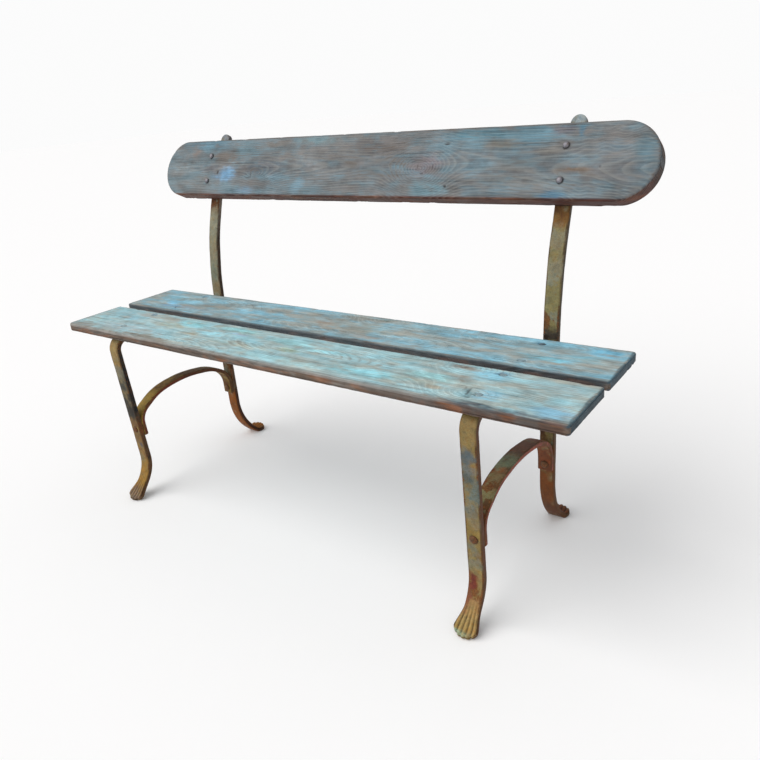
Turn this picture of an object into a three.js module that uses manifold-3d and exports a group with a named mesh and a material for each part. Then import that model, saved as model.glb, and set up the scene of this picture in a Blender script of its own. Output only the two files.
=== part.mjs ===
// Garden bench: two seat planks and a reclined backrest board on a pair of forged flat bar frames.
// Millimetres. +X runs along the bench, the sitter faces -Y, +Z is up, the origin is on the floor.

import * as THREE from 'three';
import { mergeVertices } from 'three/addons/utils/BufferGeometryUtils.js';
import Module from 'manifold-3d';

const wasm = await Module();
wasm.setup();

// Depths are measured back from the seat's front edge. MIDDLE is the centre of the whole depth.
const MIDDLE = 216.3;
const GAP = 0.3;

const SEAT_HEIGHT = 440;
const PLANK_LENGTH = 1290;
const PLANK_THICKNESS = 18.5;
const PLANK_EDGE = 3;
const PLANKS = {
  front: { start: 0, depth: 154, frontCorner: 14, rearCorner: 5, bolts: [45.5, 135] },
  rear: { start: 177, depth: 149, frontCorner: 5, rearCorner: 8, bolts: [209, 302] },
};

const BOARD_LENGTH = 1292;
const BOARD_HEIGHT = 144.5;
const BOARD_THICKNESS = 36;
const BOARD_EDGE = 5;
const BOARD_FRONT = 356.6;
const BOARD_BOTTOM = 698.6;
const RECLINE = THREE.MathUtils.degToRad(27.13);
// Old nail holes in the front of the board: place along X, then height up the board.
const NAIL_HOLES = [[-442, 60], [225, 112], [237, 25]];
const NAIL = { radius: 1.6, depth: 6 };

const FRAME_SPACING = 951;
const BAR_WIDTH = 31;
const BAR_THICKNESS = 12.5;
const BRACE_THICKNESS = 10;
const FINIAL_RISE = 160;

const FOOT_WIDTH = 46;
const FOOT_LENGTH = 58;
const FOOT_TOP = 62;
const FLARE_PLACES = [118, 58, 46, 34, 22];
const TOE_COUNT = 5;
const TOE_BULGE = 3.2;
const TOE_ROUNDING = 12;
const FLUTE_RADIUS = 2.8;
const FLUTE_DEPTH = 1.8;
const FLUTE_LIFT = 0.6;

const SHANK_RADIUS = 4;
const RIVET_HEAD = { radius: 8, height: 3.6 };
const RIVET_HEIGHTS = { front: 178, rear: 169, bearer: 386 };
const BACK_HEAD = { radius: 9, height: 4.8 };
const BACK_BOLT_RISES = { lower: 37, upper: 102 };
const SEAT_HEAD = { radius: 7.5, height: 2.4 };
const SEAT_SINK = { radius: 8, depth: 3 };
const WASHER = { radius: 10, thickness: 1.6 };
const NUT = { side: 15, thickness: 7 };
const BOLT_TAIL = 3;
const DRILL_REACH = 60;

const ROUND_SEGMENTS = 16;
const CURVE_TOLERANCE = 0.12;
const SIDES = { left: -1, right: 1 };
const UP = new THREE.Vector3(0, 0, 1);

const BEARER_HEIGHT = SEAT_HEIGHT - PLANK_THICKNESS - GAP - BAR_THICKNESS / 2;
const BOARD_TO_BAR = BOARD_THICKNESS + GAP + BAR_THICKNESS / 2;
const OUT_OF_BOARD = new THREE.Vector3(0, -Math.cos(RECLINE), Math.sin(RECLINE));

// Bends in the centre line of each bar: [depth, height, bend radius], from the toe or front end.
// The front leg turns over at the top, runs back under the planks and ends in a tab.
const FRONT_LEG_BENDS = [
  [-45, 5.95, 0],
  [-35.5, 5.95, 15],
  [22.3, 57.6, 88],
  [6.1, BEARER_HEIGHT, 27.5],
  [332.53, BEARER_HEIGHT, 12],
  [329.47, 367, 0],
];
// The rear leg runs on up past the seat and leans back behind the board.
const UPRIGHT_BENDS = [
  [423, 9.75, 0],
  [394.5, 3.85, 15],
  [335.7, 60.8, 145],
  [335.7, 258.6, 600],
  [350, 493.9, 600],
  [366.3, 591.9, 500],
  [...boardPlace(5, BOARD_TO_BAR), 60],
  [...boardPlace(FINIAL_RISE, BOARD_TO_BAR), 0],
];
const BRACE_BENDS = [
  [29.31, 158, 0],
  [26.72, 215, 42],
  [83.9, 249.7, 120],
  [162.7, 265.5, 320],
  [264.3, 248.5, 130],
  [324.15, 215.3, 60],
  [324.15, 154, 0],
];

const PAINTS = {
  seat: { color: 0x9fb9bb, roughness: 0.75, metalness: 0 },
  board: { color: 0x76888c, roughness: 0.8, metalness: 0 },
  iron: { color: 0x77683f, roughness: 0.8, metalness: 0.25 },
  brace: { color: 0x6a4226, roughness: 0.85, metalness: 0.2 },
  fastener: { color: 0x776e69, roughness: 0.6, metalness: 0.5 },
};

// Depth and height of a point `rise` up the board and `inward` behind its front face.
function boardPlace(rise, inward) {
  return [
    BOARD_FRONT + rise * Math.sin(RECLINE) + inward * Math.cos(RECLINE),
    BOARD_BOTTOM + rise * Math.cos(RECLINE) - inward * Math.sin(RECLINE),
  ];
}

function toSolid(geometry) {
  const plain = geometry.clone();
  plain.deleteAttribute('normal');
  plain.deleteAttribute('uv');
  const merged = mergeVertices(plain, 1e-4);
  return new wasm.Manifold(new wasm.Mesh({
    numProp: 3,
    vertProperties: Float32Array.from(merged.attributes.position.array),
    triVerts: Uint32Array.from(merged.index.array),
  }));
}

function toGeometry(body) {
  const { vertProperties, triVerts } = body.getMesh();
  const geometry = new THREE.BufferGeometry();
  geometry.setAttribute('position', new THREE.BufferAttribute(vertProperties, 3));
  geometry.setIndex(new THREE.BufferAttribute(triVerts, 1));
  geometry.computeVertexNormals();
  return geometry;
}

function named(name, body, paint) {
  const mesh = new THREE.Mesh(toGeometry(body), new THREE.MeshStandardMaterial(PAINTS[paint]));
  mesh.name = name;
  return mesh;
}

// Turns a list of bends into the points of a smooth centre line.
function centreLine(bends) {
  const corners = bends.map(([depth, height]) => new THREE.Vector2(depth - MIDDLE, height));
  const points = [corners[0]];
  for (let i = 1; i < corners.length - 1; i += 1) {
    const radius = bends[i][2];
    const before = corners[i - 1].clone().sub(corners[i]).normalize();
    const after = corners[i + 1].clone().sub(corners[i]).normalize();
    const halfAngle = Math.acos(before.dot(after)) / 2;
    const turn = Math.sign(after.cross(before)) * (Math.PI - 2 * halfAngle);
    const inward = before.clone().add(after).normalize();
    const centre = corners[i].clone().addScaledVector(inward, radius / Math.sin(halfAngle));
    const start = corners[i].clone().addScaledVector(before, radius / Math.tan(halfAngle));
    const steps = Math.ceil(Math.abs(turn) / (2 * Math.acos(1 - CURVE_TOLERANCE / radius)));
    for (let k = 0; k <= steps; k += 1) {
      points.push(start.clone().rotateAround(centre, (turn * k) / steps));
    }
  }
  points.push(corners[corners.length - 1]);
  return points;
}

// The two faces of a bar, half its thickness to either side of the centre line.
function barFaces(points, thickness) {
  const faces = { left: [], right: [] };
  points.forEach((point, i) => {
    const before = points[Math.max(i - 1, 0)];
    const after = points[Math.min(i + 1, points.length - 1)];
    const along = after.clone().sub(before).normalize();
    const across = new THREE.Vector2(-along.y, along.x).multiplyScalar(thickness / 2);
    faces.left.push(point.clone().add(across));
    faces.right.push(point.clone().sub(across));
  });
  return faces;
}

// A flat bar: its side view in depth and height, drawn out to its width along X.
function flatBar(points, thickness, width) {
  const { left, right } = barFaces(points, thickness);
  const outline = new THREE.Shape([...left, ...right.reverse()]);
  const geometry = new THREE.ExtrudeGeometry(outline, { depth: width, bevelEnabled: false });
  const sideways = new THREE.Matrix4().makeBasis(
    new THREE.Vector3(0, 1, 0),
    new THREE.Vector3(0, 0, 1),
    new THREE.Vector3(1, 0, 0),
  );
  return toSolid(geometry.translate(0, 0, -width / 2).applyMatrix4(sideways));
}

// Moves a shape built along +Z to a position and points it in a direction.
function placed(geometry, position, direction) {
  const turn = new THREE.Quaternion().setFromUnitVectors(UP, direction);
  return geometry.applyQuaternion(turn).translate(position.x, position.y, position.z);
}

function drill(radius, length, position, direction) {
  const geometry = new THREE.CylinderGeometry(radius, radius, length, ROUND_SEGMENTS);
  return toSolid(placed(geometry.rotateX(Math.PI / 2), position, direction));
}

function turned(profile) {
  const points = profile.map(([radius, along]) => new THREE.Vector2(radius, along));
  return new THREE.LatheGeometry(points, ROUND_SEGMENTS).rotateX(Math.PI / 2);
}

// Rim to crown of a dome head that stands on the plane `base`.
function domeProfile({ radius, height }, base) {
  const angles = [0, 30, 60].map(THREE.MathUtils.degToRad);
  const rim = angles.map((angle) => [radius * Math.cos(angle), base + height * Math.sin(angle)]);
  return [...rim, [0, base + height]];
}

function rivetShape(grip) {
  const half = grip / 2 + GAP;
  const dome = domeProfile(RIVET_HEAD, half);
  const mirrored = dome.map(([radius, along]) => [radius, -along]).reverse();
  return turned([...mirrored, [SHANK_RADIUS, -half], [SHANK_RADIUS, half], ...dome]);
}

function boltShape(head, length) {
  const shank = [[0, -length], [SHANK_RADIUS, -length], [SHANK_RADIUS, 0]];
  return turned([...shank, ...domeProfile(head, 0)]);
}

function ringShape(radius, thickness) {
  const bore = SHANK_RADIUS + GAP;
  return turned([[bore, 0], [radius, 0], [radius, thickness], [bore, thickness], [bore, 0]]);
}

function nutShape() {
  const half = NUT.side / 2;
  const square = new THREE.Shape();
  square.moveTo(-half, -half).lineTo(half, -half).lineTo(half, half).lineTo(-half, half);
  square.closePath();
  const bore = new THREE.Path().absarc(0, 0, SHANK_RADIUS + GAP, 0, 2 * Math.PI, true);
  square.holes.push(bore);
  const options = { depth: NUT.thickness, bevelEnabled: false, curveSegments: ROUND_SEGMENTS / 2 };
  return new THREE.ExtrudeGeometry(square, options);
}

// The point at a height on one straight stretch of a bar, and the rearward direction through it.
function barStation(bends, stretch, height) {
  const [startDepth, startHeight] = bends[stretch];
  const [endDepth, endHeight] = bends[stretch + 1];
  const lean = (endDepth - startDepth) / (endHeight - startHeight);
  const depth = startDepth + (height - startHeight) * lean - MIDDLE;
  const through = new THREE.Vector3(0, 1, -lean).normalize();
  return { at: new THREE.Vector3(0, depth, height), through };
}

function plank({ start, depth, frontCorner, rearCorner }) {
  const half = PLANK_LENGTH / 2;
  const front = start - MIDDLE;
  const rear = front + depth;
  const outline = new THREE.Shape();
  outline.moveTo(-half + frontCorner, front);
  outline.lineTo(half - frontCorner, front);
  outline.absarc(half - frontCorner, front + frontCorner, frontCorner, -Math.PI / 2, 0);
  outline.absarc(half - rearCorner, rear - rearCorner, rearCorner, 0, Math.PI / 2);
  outline.absarc(-half + rearCorner, rear - rearCorner, rearCorner, Math.PI / 2, Math.PI);
  outline.absarc(-half + frontCorner, front + frontCorner, frontCorner, Math.PI, 1.5 * Math.PI);
  const board = rounded(outline, PLANK_THICKNESS, PLANK_EDGE, 4);
  return toSolid(board.translate(0, 0, SEAT_HEIGHT - PLANK_THICKNESS));
}

// An outline drawn up to a thickness, with its edges rounded inside that size.
function rounded(outline, thickness, edge, corner) {
  const geometry = new THREE.ExtrudeGeometry(outline, {
    depth: thickness - 2 * edge,
    bevelThickness: edge,
    bevelSize: edge,
    bevelOffset: -edge,
    bevelSegments: 2,
    curveSegments: corner,
  });
  return geometry.translate(0, 0, edge);
}

function seatPlank(name, plan) {
  let body = plank(plan);
  for (const side of Object.values(SIDES)) {
    for (const depth of plan.bolts) {
      const top = new THREE.Vector3((side * FRAME_SPACING) / 2, depth - MIDDLE, SEAT_HEIGHT);
      body = body.subtract(drill(SHANK_RADIUS + GAP, DRILL_REACH, top, UP));
      body = body.subtract(drill(SEAT_SINK.radius, 2 * SEAT_SINK.depth, top, UP));
    }
  }
  return named(name, body, 'seat');
}

function boardPoint(x, rise, inward) {
  const [depth, height] = boardPlace(rise, inward);
  return new THREE.Vector3(x, depth - MIDDLE, height);
}

function onBoard(side, rise, inward) {
  return boardPoint((side * FRAME_SPACING) / 2, rise, inward);
}

function backBoard() {
  const radius = BOARD_HEIGHT / 2;
  const straight = BOARD_LENGTH / 2 - radius;
  const outline = new THREE.Shape();
  outline.absarc(straight, radius, radius, -Math.PI / 2, Math.PI / 2);
  outline.absarc(-straight, radius, radius, Math.PI / 2, 1.5 * Math.PI);
  const geometry = rounded(outline, BOARD_THICKNESS, BOARD_EDGE, 20)
    .translate(0, 0, -BOARD_THICKNESS)
    .rotateX(Math.PI / 2 - RECLINE)
    .translate(0, BOARD_FRONT - MIDDLE, BOARD_BOTTOM);
  let body = toSolid(geometry);
  for (const side of Object.values(SIDES)) {
    for (const rise of Object.values(BACK_BOLT_RISES)) {
      const middle = onBoard(side, rise, BOARD_THICKNESS / 2);
      const hole = drill(SHANK_RADIUS + GAP, DRILL_REACH, middle, OUT_OF_BOARD);
      body = body.subtract(hole);
    }
  }
  for (const [x, rise] of NAIL_HOLES) {
    const hole = drill(NAIL.radius, 2 * NAIL.depth, boardPoint(x, rise, 0), OUT_OF_BOARD);
    body = body.subtract(hole);
  }
  return named('backrest_board', body, 'board');
}

// Share of the way from the start of the flare (0) to the widest part of the foot (1).
function flareAt(distance) {
  return THREE.MathUtils.smoothstep(FOOT_LENGTH - distance, 0, FOOT_LENGTH - TOE_ROUNDING);
}

function footWidthAt(distance) {
  return THREE.MathUtils.lerp(BAR_WIDTH, FOOT_WIDTH, flareAt(distance));
}

// The foot from above: it widens from the bar to a row of rounded toes.
function footPlan(tip, facing) {
  const half = FOOT_WIDTH / 2;
  const pitch = FOOT_WIDTH / TOE_COUNT;
  const place = (x, distance) => new THREE.Vector2(x, tip - facing * distance);
  const notch = (x) => place(x, TOE_BULGE + TOE_ROUNDING * (x / half) ** 2);
  const flare = [...FLARE_PLACES, TOE_ROUNDING + TOE_BULGE];
  const left = flare.map((distance) => place(-footWidthAt(distance) / 2, distance));
  const right = flare.map((distance) => place(footWidthAt(distance) / 2, distance));
  const outline = new THREE.Shape(left);
  for (let toe = 0; toe < TOE_COUNT; toe += 1) {
    const start = notch(-half + toe * pitch);
    const end = notch(-half + (toe + 1) * pitch);
    const crown = start.clone().lerp(end, 0.5).add(place(0, -2 * TOE_BULGE)).sub(place(0, 0));
    outline.quadraticCurveTo(crown.x, crown.y, end.x, end.y);
  }
  for (const point of right.reverse()) {
    outline.lineTo(point.x, point.y);
  }
  const options = { depth: 2 * FOOT_TOP, bevelEnabled: false, curveSegments: 4 };
  return toSolid(new THREE.ExtrudeGeometry(outline, options));
}

// A round groove along the top face of the foot that fans out with it and fades up the leg.
function flute(topFace, points, lane) {
  const tip = points[0].x;
  const path = topFace.map((top, i) => {
    const distance = Math.abs(points[i].x - tip);
    const outward = top.clone().sub(points[i]).normalize();
    const depth = THREE.MathUtils.lerp(-FLUTE_LIFT, FLUTE_DEPTH, Math.sqrt(flareAt(distance)));
    const centre = top.clone().addScaledVector(outward, FLUTE_RADIUS - depth);
    return new THREE.Vector3((lane * footWidthAt(distance)) / TOE_COUNT, centre.x, centre.y);
  });
  const lead = path[0].clone().multiplyScalar(2).sub(path[1]);
  const curve = new THREE.CatmullRomCurve3([lead, ...path]);
  const round = new THREE.Shape().absarc(0, 0, FLUTE_RADIUS, 0, 2 * Math.PI);
  const options = { steps: 10, extrudePath: curve, curveSegments: 4 };
  return toSolid(new THREE.ExtrudeGeometry(round, options));
}

// A leg bar whose first points are its toe. `facing` is -1 for a foot that points to the front.
function footedBar(bends, facing) {
  const points = centreLine(bends);
  const ankle = points.findIndex((point) => point.y > FOOT_TOP);
  const footPoints = points.slice(0, ankle + 1);
  const { left, right } = barFaces(footPoints, BAR_THICKNESS);
  const topFace = facing < 0 ? left : right;
  let foot = flatBar(footPoints, BAR_THICKNESS, 2 * FOOT_WIDTH);
  foot = foot.intersect(footPlan(points[0].x, facing));
  for (let toe = 1; toe < TOE_COUNT; toe += 1) {
    foot = foot.subtract(flute(topFace, footPoints, toe - TOE_COUNT / 2));
  }
  return flatBar(points.slice(ankle), BAR_THICKNESS, BAR_WIDTH).add(foot);
}

function rivetHole(station) {
  return drill(SHANK_RADIUS + GAP, DRILL_REACH, station.at, station.through);
}

const STATIONS = {
  front: barStation(FRONT_LEG_BENDS, 2, RIVET_HEIGHTS.front),
  rear: barStation(UPRIGHT_BENDS, 2, RIVET_HEIGHTS.rear),
  bearer: barStation(UPRIGHT_BENDS, 3, RIVET_HEIGHTS.bearer),
};

function atSide(body, side) {
  return body.translate([(side * FRAME_SPACING) / 2, 0, 0]);
}

function frontLeg() {
  let body = footedBar(FRONT_LEG_BENDS, -1);
  body = body.subtract(rivetHole(STATIONS.front)).subtract(rivetHole(STATIONS.bearer));
  for (const depth of [...PLANKS.front.bolts, ...PLANKS.rear.bolts]) {
    const at = new THREE.Vector3(0, depth - MIDDLE, BEARER_HEIGHT);
    body = body.subtract(drill(SHANK_RADIUS + GAP, DRILL_REACH, at, UP));
  }
  return body;
}

function finial() {
  const radius = BAR_WIDTH / 2;
  const [depth, height] = boardPlace(FINIAL_RISE, BOARD_TO_BAR);
  const geometry = new THREE.CylinderGeometry(radius, radius, BAR_THICKNESS, 2 * ROUND_SEGMENTS);
  const centre = new THREE.Vector3(0, depth - MIDDLE, height);
  return toSolid(placed(geometry.rotateX(Math.PI / 2), centre, OUT_OF_BOARD));
}

function upright() {
  let body = footedBar(UPRIGHT_BENDS, 1).add(finial());
  body = body.subtract(rivetHole(STATIONS.rear)).subtract(rivetHole(STATIONS.bearer));
  for (const rise of Object.values(BACK_BOLT_RISES)) {
    const at = onBoard(0, rise, BOARD_TO_BAR);
    body = body.subtract(drill(SHANK_RADIUS + GAP, DRILL_REACH, at, OUT_OF_BOARD));
  }
  return body;
}

function brace() {
  const body = flatBar(centreLine(BRACE_BENDS), BRACE_THICKNESS, BAR_WIDTH);
  return body.subtract(rivetHole(STATIONS.front)).subtract(rivetHole(STATIONS.rear));
}

// A rivet through a leg bar and the bar that lies `behind` it (+1) or in front of it (-1).
function rivet(station, otherThickness, behind) {
  const grip = BAR_THICKNESS + GAP + otherThickness;
  const offset = (behind * (grip - BAR_THICKNESS)) / 2;
  const middle = station.at.clone().addScaledVector(station.through, offset);
  return toSolid(placed(rivetShape(grip), middle, station.through));
}

function backFasteners(side, rise) {
  const grip = BOARD_THICKNESS + GAP + BAR_THICKNESS;
  const nutPlace = grip + GAP + WASHER.thickness + GAP;
  const length = GAP + nutPlace + NUT.thickness + BOLT_TAIL;
  const inward = OUT_OF_BOARD.clone().negate();
  const head = onBoard(side, rise, -GAP);
  const washer = ringShape(WASHER.radius, WASHER.thickness);
  return {
    bolt: toSolid(placed(boltShape(BACK_HEAD, length), head, OUT_OF_BOARD)),
    washer: toSolid(placed(washer, onBoard(side, rise, grip + GAP), inward)),
    nut: toSolid(placed(nutShape(), onBoard(side, rise, nutPlace), inward)),
  };
}

function seatFasteners(side, depth) {
  const x = (side * FRAME_SPACING) / 2;
  const headBase = SEAT_HEIGHT - SEAT_SINK.depth + GAP;
  const nutTop = BEARER_HEIGHT - BAR_THICKNESS / 2 - GAP;
  const length = headBase - nutTop + NUT.thickness + BOLT_TAIL;
  const head = new THREE.Vector3(x, depth - MIDDLE, headBase);
  const nut = new THREE.Vector3(x, depth - MIDDLE, nutTop - NUT.thickness);
  return {
    bolt: toSolid(placed(boltShape(SEAT_HEAD, length), head, UP)),
    nut: toSolid(placed(nutShape(), nut, UP)),
  };
}

function sideFrame(sideName, side) {
  const rivets = {
    rivet_brace_front: rivet(STATIONS.front, BRACE_THICKNESS, 1),
    rivet_brace_rear: rivet(STATIONS.rear, BRACE_THICKNESS, -1),
    rivet_bearer: rivet(STATIONS.bearer, BAR_THICKNESS, -1),
  };
  const rivetMeshes = Object.entries(rivets)
    .map(([name, body]) => named(`${name}_${sideName}`, atSide(body, side), 'fastener'));
  return [
    named(`front_leg_${sideName}`, atSide(frontLeg(), side), 'iron'),
    named(`upright_${sideName}`, atSide(upright(), side), 'iron'),
    named(`brace_${sideName}`, atSide(brace(), side), 'brace'),
    ...rivetMeshes,
  ];
}

function fasteners(sideName, side) {
  const meshes = [];
  for (const [level, rise] of Object.entries(BACK_BOLT_RISES)) {
    for (const [kind, body] of Object.entries(backFasteners(side, rise))) {
      meshes.push(named(`back_${kind}_${level}_${sideName}`, body, 'fastener'));
    }
  }
  [...PLANKS.front.bolts, ...PLANKS.rear.bolts].forEach((depth, i) => {
    for (const [kind, body] of Object.entries(seatFasteners(side, depth))) {
      meshes.push(named(`seat_${kind}_${i + 1}_${sideName}`, body, 'fastener'));
    }
  });
  return meshes;
}

const bench = new THREE.Group();
bench.name = 'bench';
bench.add(seatPlank('seat_plank_front', PLANKS.front));
bench.add(seatPlank('seat_plank_rear', PLANKS.rear));
bench.add(backBoard());
for (const [sideName, side] of Object.entries(SIDES)) {
  bench.add(...sideFrame(sideName, side));
  bench.add(...fasteners(sideName, side));
}

export default bench;
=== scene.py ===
"""Garden bench: weathered planks and a backrest board on two painted, rusty iron frames.

Shapes are worked out in millimetres in the frame's own axes, and scaled to metres as each mesh
is made. Depths are measured back from the seat's front edge, heights up from the floor.
"""
import functools
import itertools
import math

import bpy
import numpy as np
from mathutils import Matrix


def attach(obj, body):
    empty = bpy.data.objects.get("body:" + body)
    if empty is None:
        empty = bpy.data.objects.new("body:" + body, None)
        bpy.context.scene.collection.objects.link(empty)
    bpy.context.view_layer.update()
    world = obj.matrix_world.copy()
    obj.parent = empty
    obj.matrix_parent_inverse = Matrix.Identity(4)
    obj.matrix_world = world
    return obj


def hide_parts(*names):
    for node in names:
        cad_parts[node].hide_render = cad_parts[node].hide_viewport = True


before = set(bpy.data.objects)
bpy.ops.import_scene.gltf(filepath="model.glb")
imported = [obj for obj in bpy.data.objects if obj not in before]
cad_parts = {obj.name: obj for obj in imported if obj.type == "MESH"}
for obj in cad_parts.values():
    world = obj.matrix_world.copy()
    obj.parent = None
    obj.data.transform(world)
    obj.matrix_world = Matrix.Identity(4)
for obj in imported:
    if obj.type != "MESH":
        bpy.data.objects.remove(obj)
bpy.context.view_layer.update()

MILLIMETRE = 0.001
SIDES = {"left": -1, "right": 1}

# -------------------- sizes, the same as in the frame
# The depth that lies at the frame's Y of 0.
MIDDLE = 216.3
GAP = 0.3
SEAT_HEIGHT = 440.0
SEAT_LENGTH = 1290
PLANK_THICKNESS = 18.5
FRONT_PLANK_DEPTH = 154
REAR_PLANK_DEPTH = 149
REAR_PLANK_START = 177.0
FRAME_PLACE = 475.5
BAR_HALF_WIDTH = 15.5
BAR_THICKNESS = 12.5
BRACE_THICKNESS = 10.0
FOOT_HALF_WIDTH = 23.0
FOOT_LENGTH = 58.0
TOE_COUNT = 5
TOE_BULGE = 3.2
TOE_ROUNDING = 12.0
SHANK_RADIUS = 4.0
# Radius and height of each kind of head.
BACK_HEAD = (6.3, 4.0)
SEAT_HEAD = (7.2, 1.9)
RIVET_HEAD = (8.4, 4.2)
BORE_RADIUS = SHANK_RADIUS + GAP + 0.3
SINK_DEPTH = 3
NUT_HALF = 7.5
NUT_HEIGHT = 7
BEYOND_NUT = 3
WASHER_RADIUS = 10
WASHER_HEIGHT = 1.6
THREAD_PITCH = 1.4

RECLINE = math.radians(27.13)
BOARD_FRONT = 356.6
BOARD_BOTTOM = 698.6
BOARD_LENGTH = 1292
BOARD_HEIGHT = 144.5
BOARD_THICKNESS = 36.0
BOARD_TO_BAR = BOARD_THICKNESS + GAP + BAR_THICKNESS / 2
BACK_BOLT_RISES = {"lower": 37.0, "upper": 102.0}
SEAT_BOLTS = (45.5, 135.0, 209.0, 302.0)
BEARER_HEIGHT = SEAT_HEIGHT - PLANK_THICKNESS - GAP - BAR_THICKNESS / 2
FINIAL_TOP = 175.5


def board_place(rise, inward):
    """Depth and height of a point up the board and behind its front face."""
    depth = BOARD_FRONT + rise * math.sin(RECLINE) + inward * math.cos(RECLINE)
    height = BOARD_BOTTOM + rise * math.cos(RECLINE) - inward * math.sin(RECLINE)
    return depth, height


# Bends in each bar's centre line: depth, height, bend radius.
FRONT_LEG = [
    (-45, 5.95, 0), (-35.5, 5.95, 15), (22.3, 57.6, 88), (6.1, BEARER_HEIGHT, 27.5),
    (332.53, BEARER_HEIGHT, 12), (329.47, 367, 0),
]
UPRIGHT = [
    (423, 9.75, 0), (394.5, 3.85, 15), (335.7, 60.8, 145), (335.7, 258.6, 600),
    (350, 493.9, 600), (366.3, 591.9, 500), (*board_place(5, BOARD_TO_BAR), 60),
    (*board_place(FINIAL_TOP, BOARD_TO_BAR), 0),
]
BRACE = [
    (29.31, 158, 0), (26.72, 215, 42), (83.9, 249.7, 120), (162.7, 265.5, 320),
    (264.3, 248.5, 130), (324.15, 215.3, 60), (324.15, 154, 0),
]


# -------------------- noise and colour
def hashed(cells, seed):
    """A repeatable number from 0 to 1 for each whole-number cell."""
    x, y, z = (cells[..., k].astype(np.int64).astype(np.uint32) for k in range(3))
    h = x * np.uint32(374761393) + y * np.uint32(668265263) + z * np.uint32(2246822519)
    h = h + np.uint32((seed * 3266489917) % 4294967296)
    h = (h ^ (h >> np.uint32(13))) * np.uint32(1274126177)
    h = (h ^ (h >> np.uint32(15))) * np.uint32(2654435761)
    return (h ^ (h >> np.uint32(16))) / 4294967295.0


def noise(points, size, seed=0):
    """Smooth noise from -1 to 1, with features of the given size along each axis."""
    scaled = points / np.asarray(size, float) + 317.31 + 7.7 * seed
    cell = np.floor(scaled)
    part = scaled - cell
    part = part * part * (3 - 2 * part)
    total = np.zeros(points.shape[:-1])
    for corner in itertools.product((0, 1), repeat=3):
        weight = np.prod(np.where(corner, part, 1 - part), axis=-1)
        total += weight * hashed(cell + np.array(corner), seed)
    return 2 * total - 1


def layered(points, size, seed=0, layers=3):
    """Noise with finer and weaker layers added."""
    size = np.asarray(size, float)
    total = sum(noise(points, size / 2**k, seed + 31 * k) / 2**k for k in range(layers))
    return total / (2 - 2 ** (1 - layers))


def smooth(values, low, high):
    """0 below low, 1 above high and a smooth rise between."""
    t = np.clip((values - low) / (high - low), 0, 1)
    return t * t * (3 - 2 * t)


def colour(code):
    """Linear RGB of a hex colour."""
    parts = np.array([int(code[k:k + 2], 16) / 255 for k in (0, 2, 4)])
    return np.where(parts <= 0.04045, parts / 12.92, ((parts + 0.055) / 1.055) ** 2.4)


def plain_coat(code, shape):
    """One colour at every place."""
    return np.broadcast_to(colour(code), (*shape, 3))


def laid_over(coat, share, over):
    """A coat with a colour over it, as strongly as share says at each place."""
    return coat + share[..., None] * (over - coat)


def blobs(u, v, rows, warp, ragged=0.0):
    """Share of each soft-edged patch at each place. Rows begin with centre and radii."""
    place = np.stack([u, v, np.zeros_like(u)], -1)
    wobble_u = 2.0 * warp * layered(place, (30, 12, 9), 5)
    wobble_v = warp * layered(place, (30, 12, 9), 6)
    torn = ragged * (layered(place, (34, 8, 9), 7, 4) + 0.6 * layered(place, (9, 2.5, 9), 8, 2))
    for row in rows:
        cu, cv, ru, rv = row[:4]
        away = np.hypot((u + wobble_u - cu) / ru, (v + wobble_v - cv) / rv)
        yield row[4:], 1 - smooth(away + torn, 0.35, 1.3)


def painted(coat, u, v, rows, warp, ragged):
    """A coat with patches of other colours over it, in order."""
    for (code, strength), share in blobs(u, v, rows, warp, ragged):
        coat = laid_over(coat, strength * share, colour(code))
    return coat


def strongest(u, v, rows, warp=0.0):
    """The strongest of some patches at each place."""
    total = np.zeros_like(u)
    for (strength,), share in blobs(u, v, rows, warp):
        total = np.maximum(total, strength * share)
    return total


# -------------------- meshes from rings
def outward(points):
    """Unit normals of a tube of rings."""
    along = np.gradient(points, axis=0)
    around = np.roll(points, -1, 1) - np.roll(points, 1, 1)
    normals = np.cross(along, around)
    normals /= np.maximum(np.linalg.norm(normals, axis=-1, keepdims=True), 1e-9)
    middle = points.mean(1, keepdims=True)
    if ((points - middle) * normals).sum() < 0:
        normals = -normals
    return normals


def with_fields(points, fields):
    """Each point's place and fields, side by side."""
    layers = [field if field.ndim == 3 else field[..., None] for field in fields.values()]
    return np.concatenate([points, *layers], -1)


def ring_faces(index):
    """Faces between neighbouring rings of point numbers."""
    after = np.roll(index, -1, 1)
    return np.stack([index[:-1], after[:-1], after[1:], index[1:]], -1).reshape(-1, 4)


def tube(name, points, fields, across, deep):
    """A closed mesh through rings that each run round a grid of across by deep + 2 points."""
    count, around = points.shape[:2]
    data = with_fields(points, fields)
    index = np.arange(count * around).reshape(count, around)
    faces = [ring_faces(index)]
    chunks = [data.reshape(count * around, -1)]
    total = count * around
    for ring, turn in ((0, -1), (count - 1, 1)):
        top = np.arange(across)
        bottom = np.arange(across + deep, 2 * across + deep)[::-1]
        grid = [index[ring, top]]
        for row in range(deep):
            share = (row + 1) / (deep + 1)
            inner = (1 - share) * data[ring, top] + share * data[ring, bottom]
            chunks.append(inner[1:-1])
            left = index[ring, 2 * across + 2 * deep - 1 - row]
            right = index[ring, across + row]
            grid.append(np.array([left, *range(total, total + across - 2), right]))
            total += across - 2
        grid.append(index[ring, bottom])
        g = np.array(grid)
        cap = np.stack([g[:-1, :-1], g[:-1, 1:], g[1:, 1:], g[1:, :-1]], -1).reshape(-1, 4)
        faces.append(cap[:, ::-turn])
    return build(name, np.concatenate(chunks), np.concatenate(faces), fields)


def closed_tube(name, points, fields):
    """A mesh whose last ring joins its first."""
    count, around = points.shape[:2]
    data = with_fields(points, fields).reshape(count * around, -1)
    index = np.arange(count * around).reshape(count, around)
    return build(name, data, ring_faces(np.concatenate([index, index[:1]])), fields)


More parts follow.
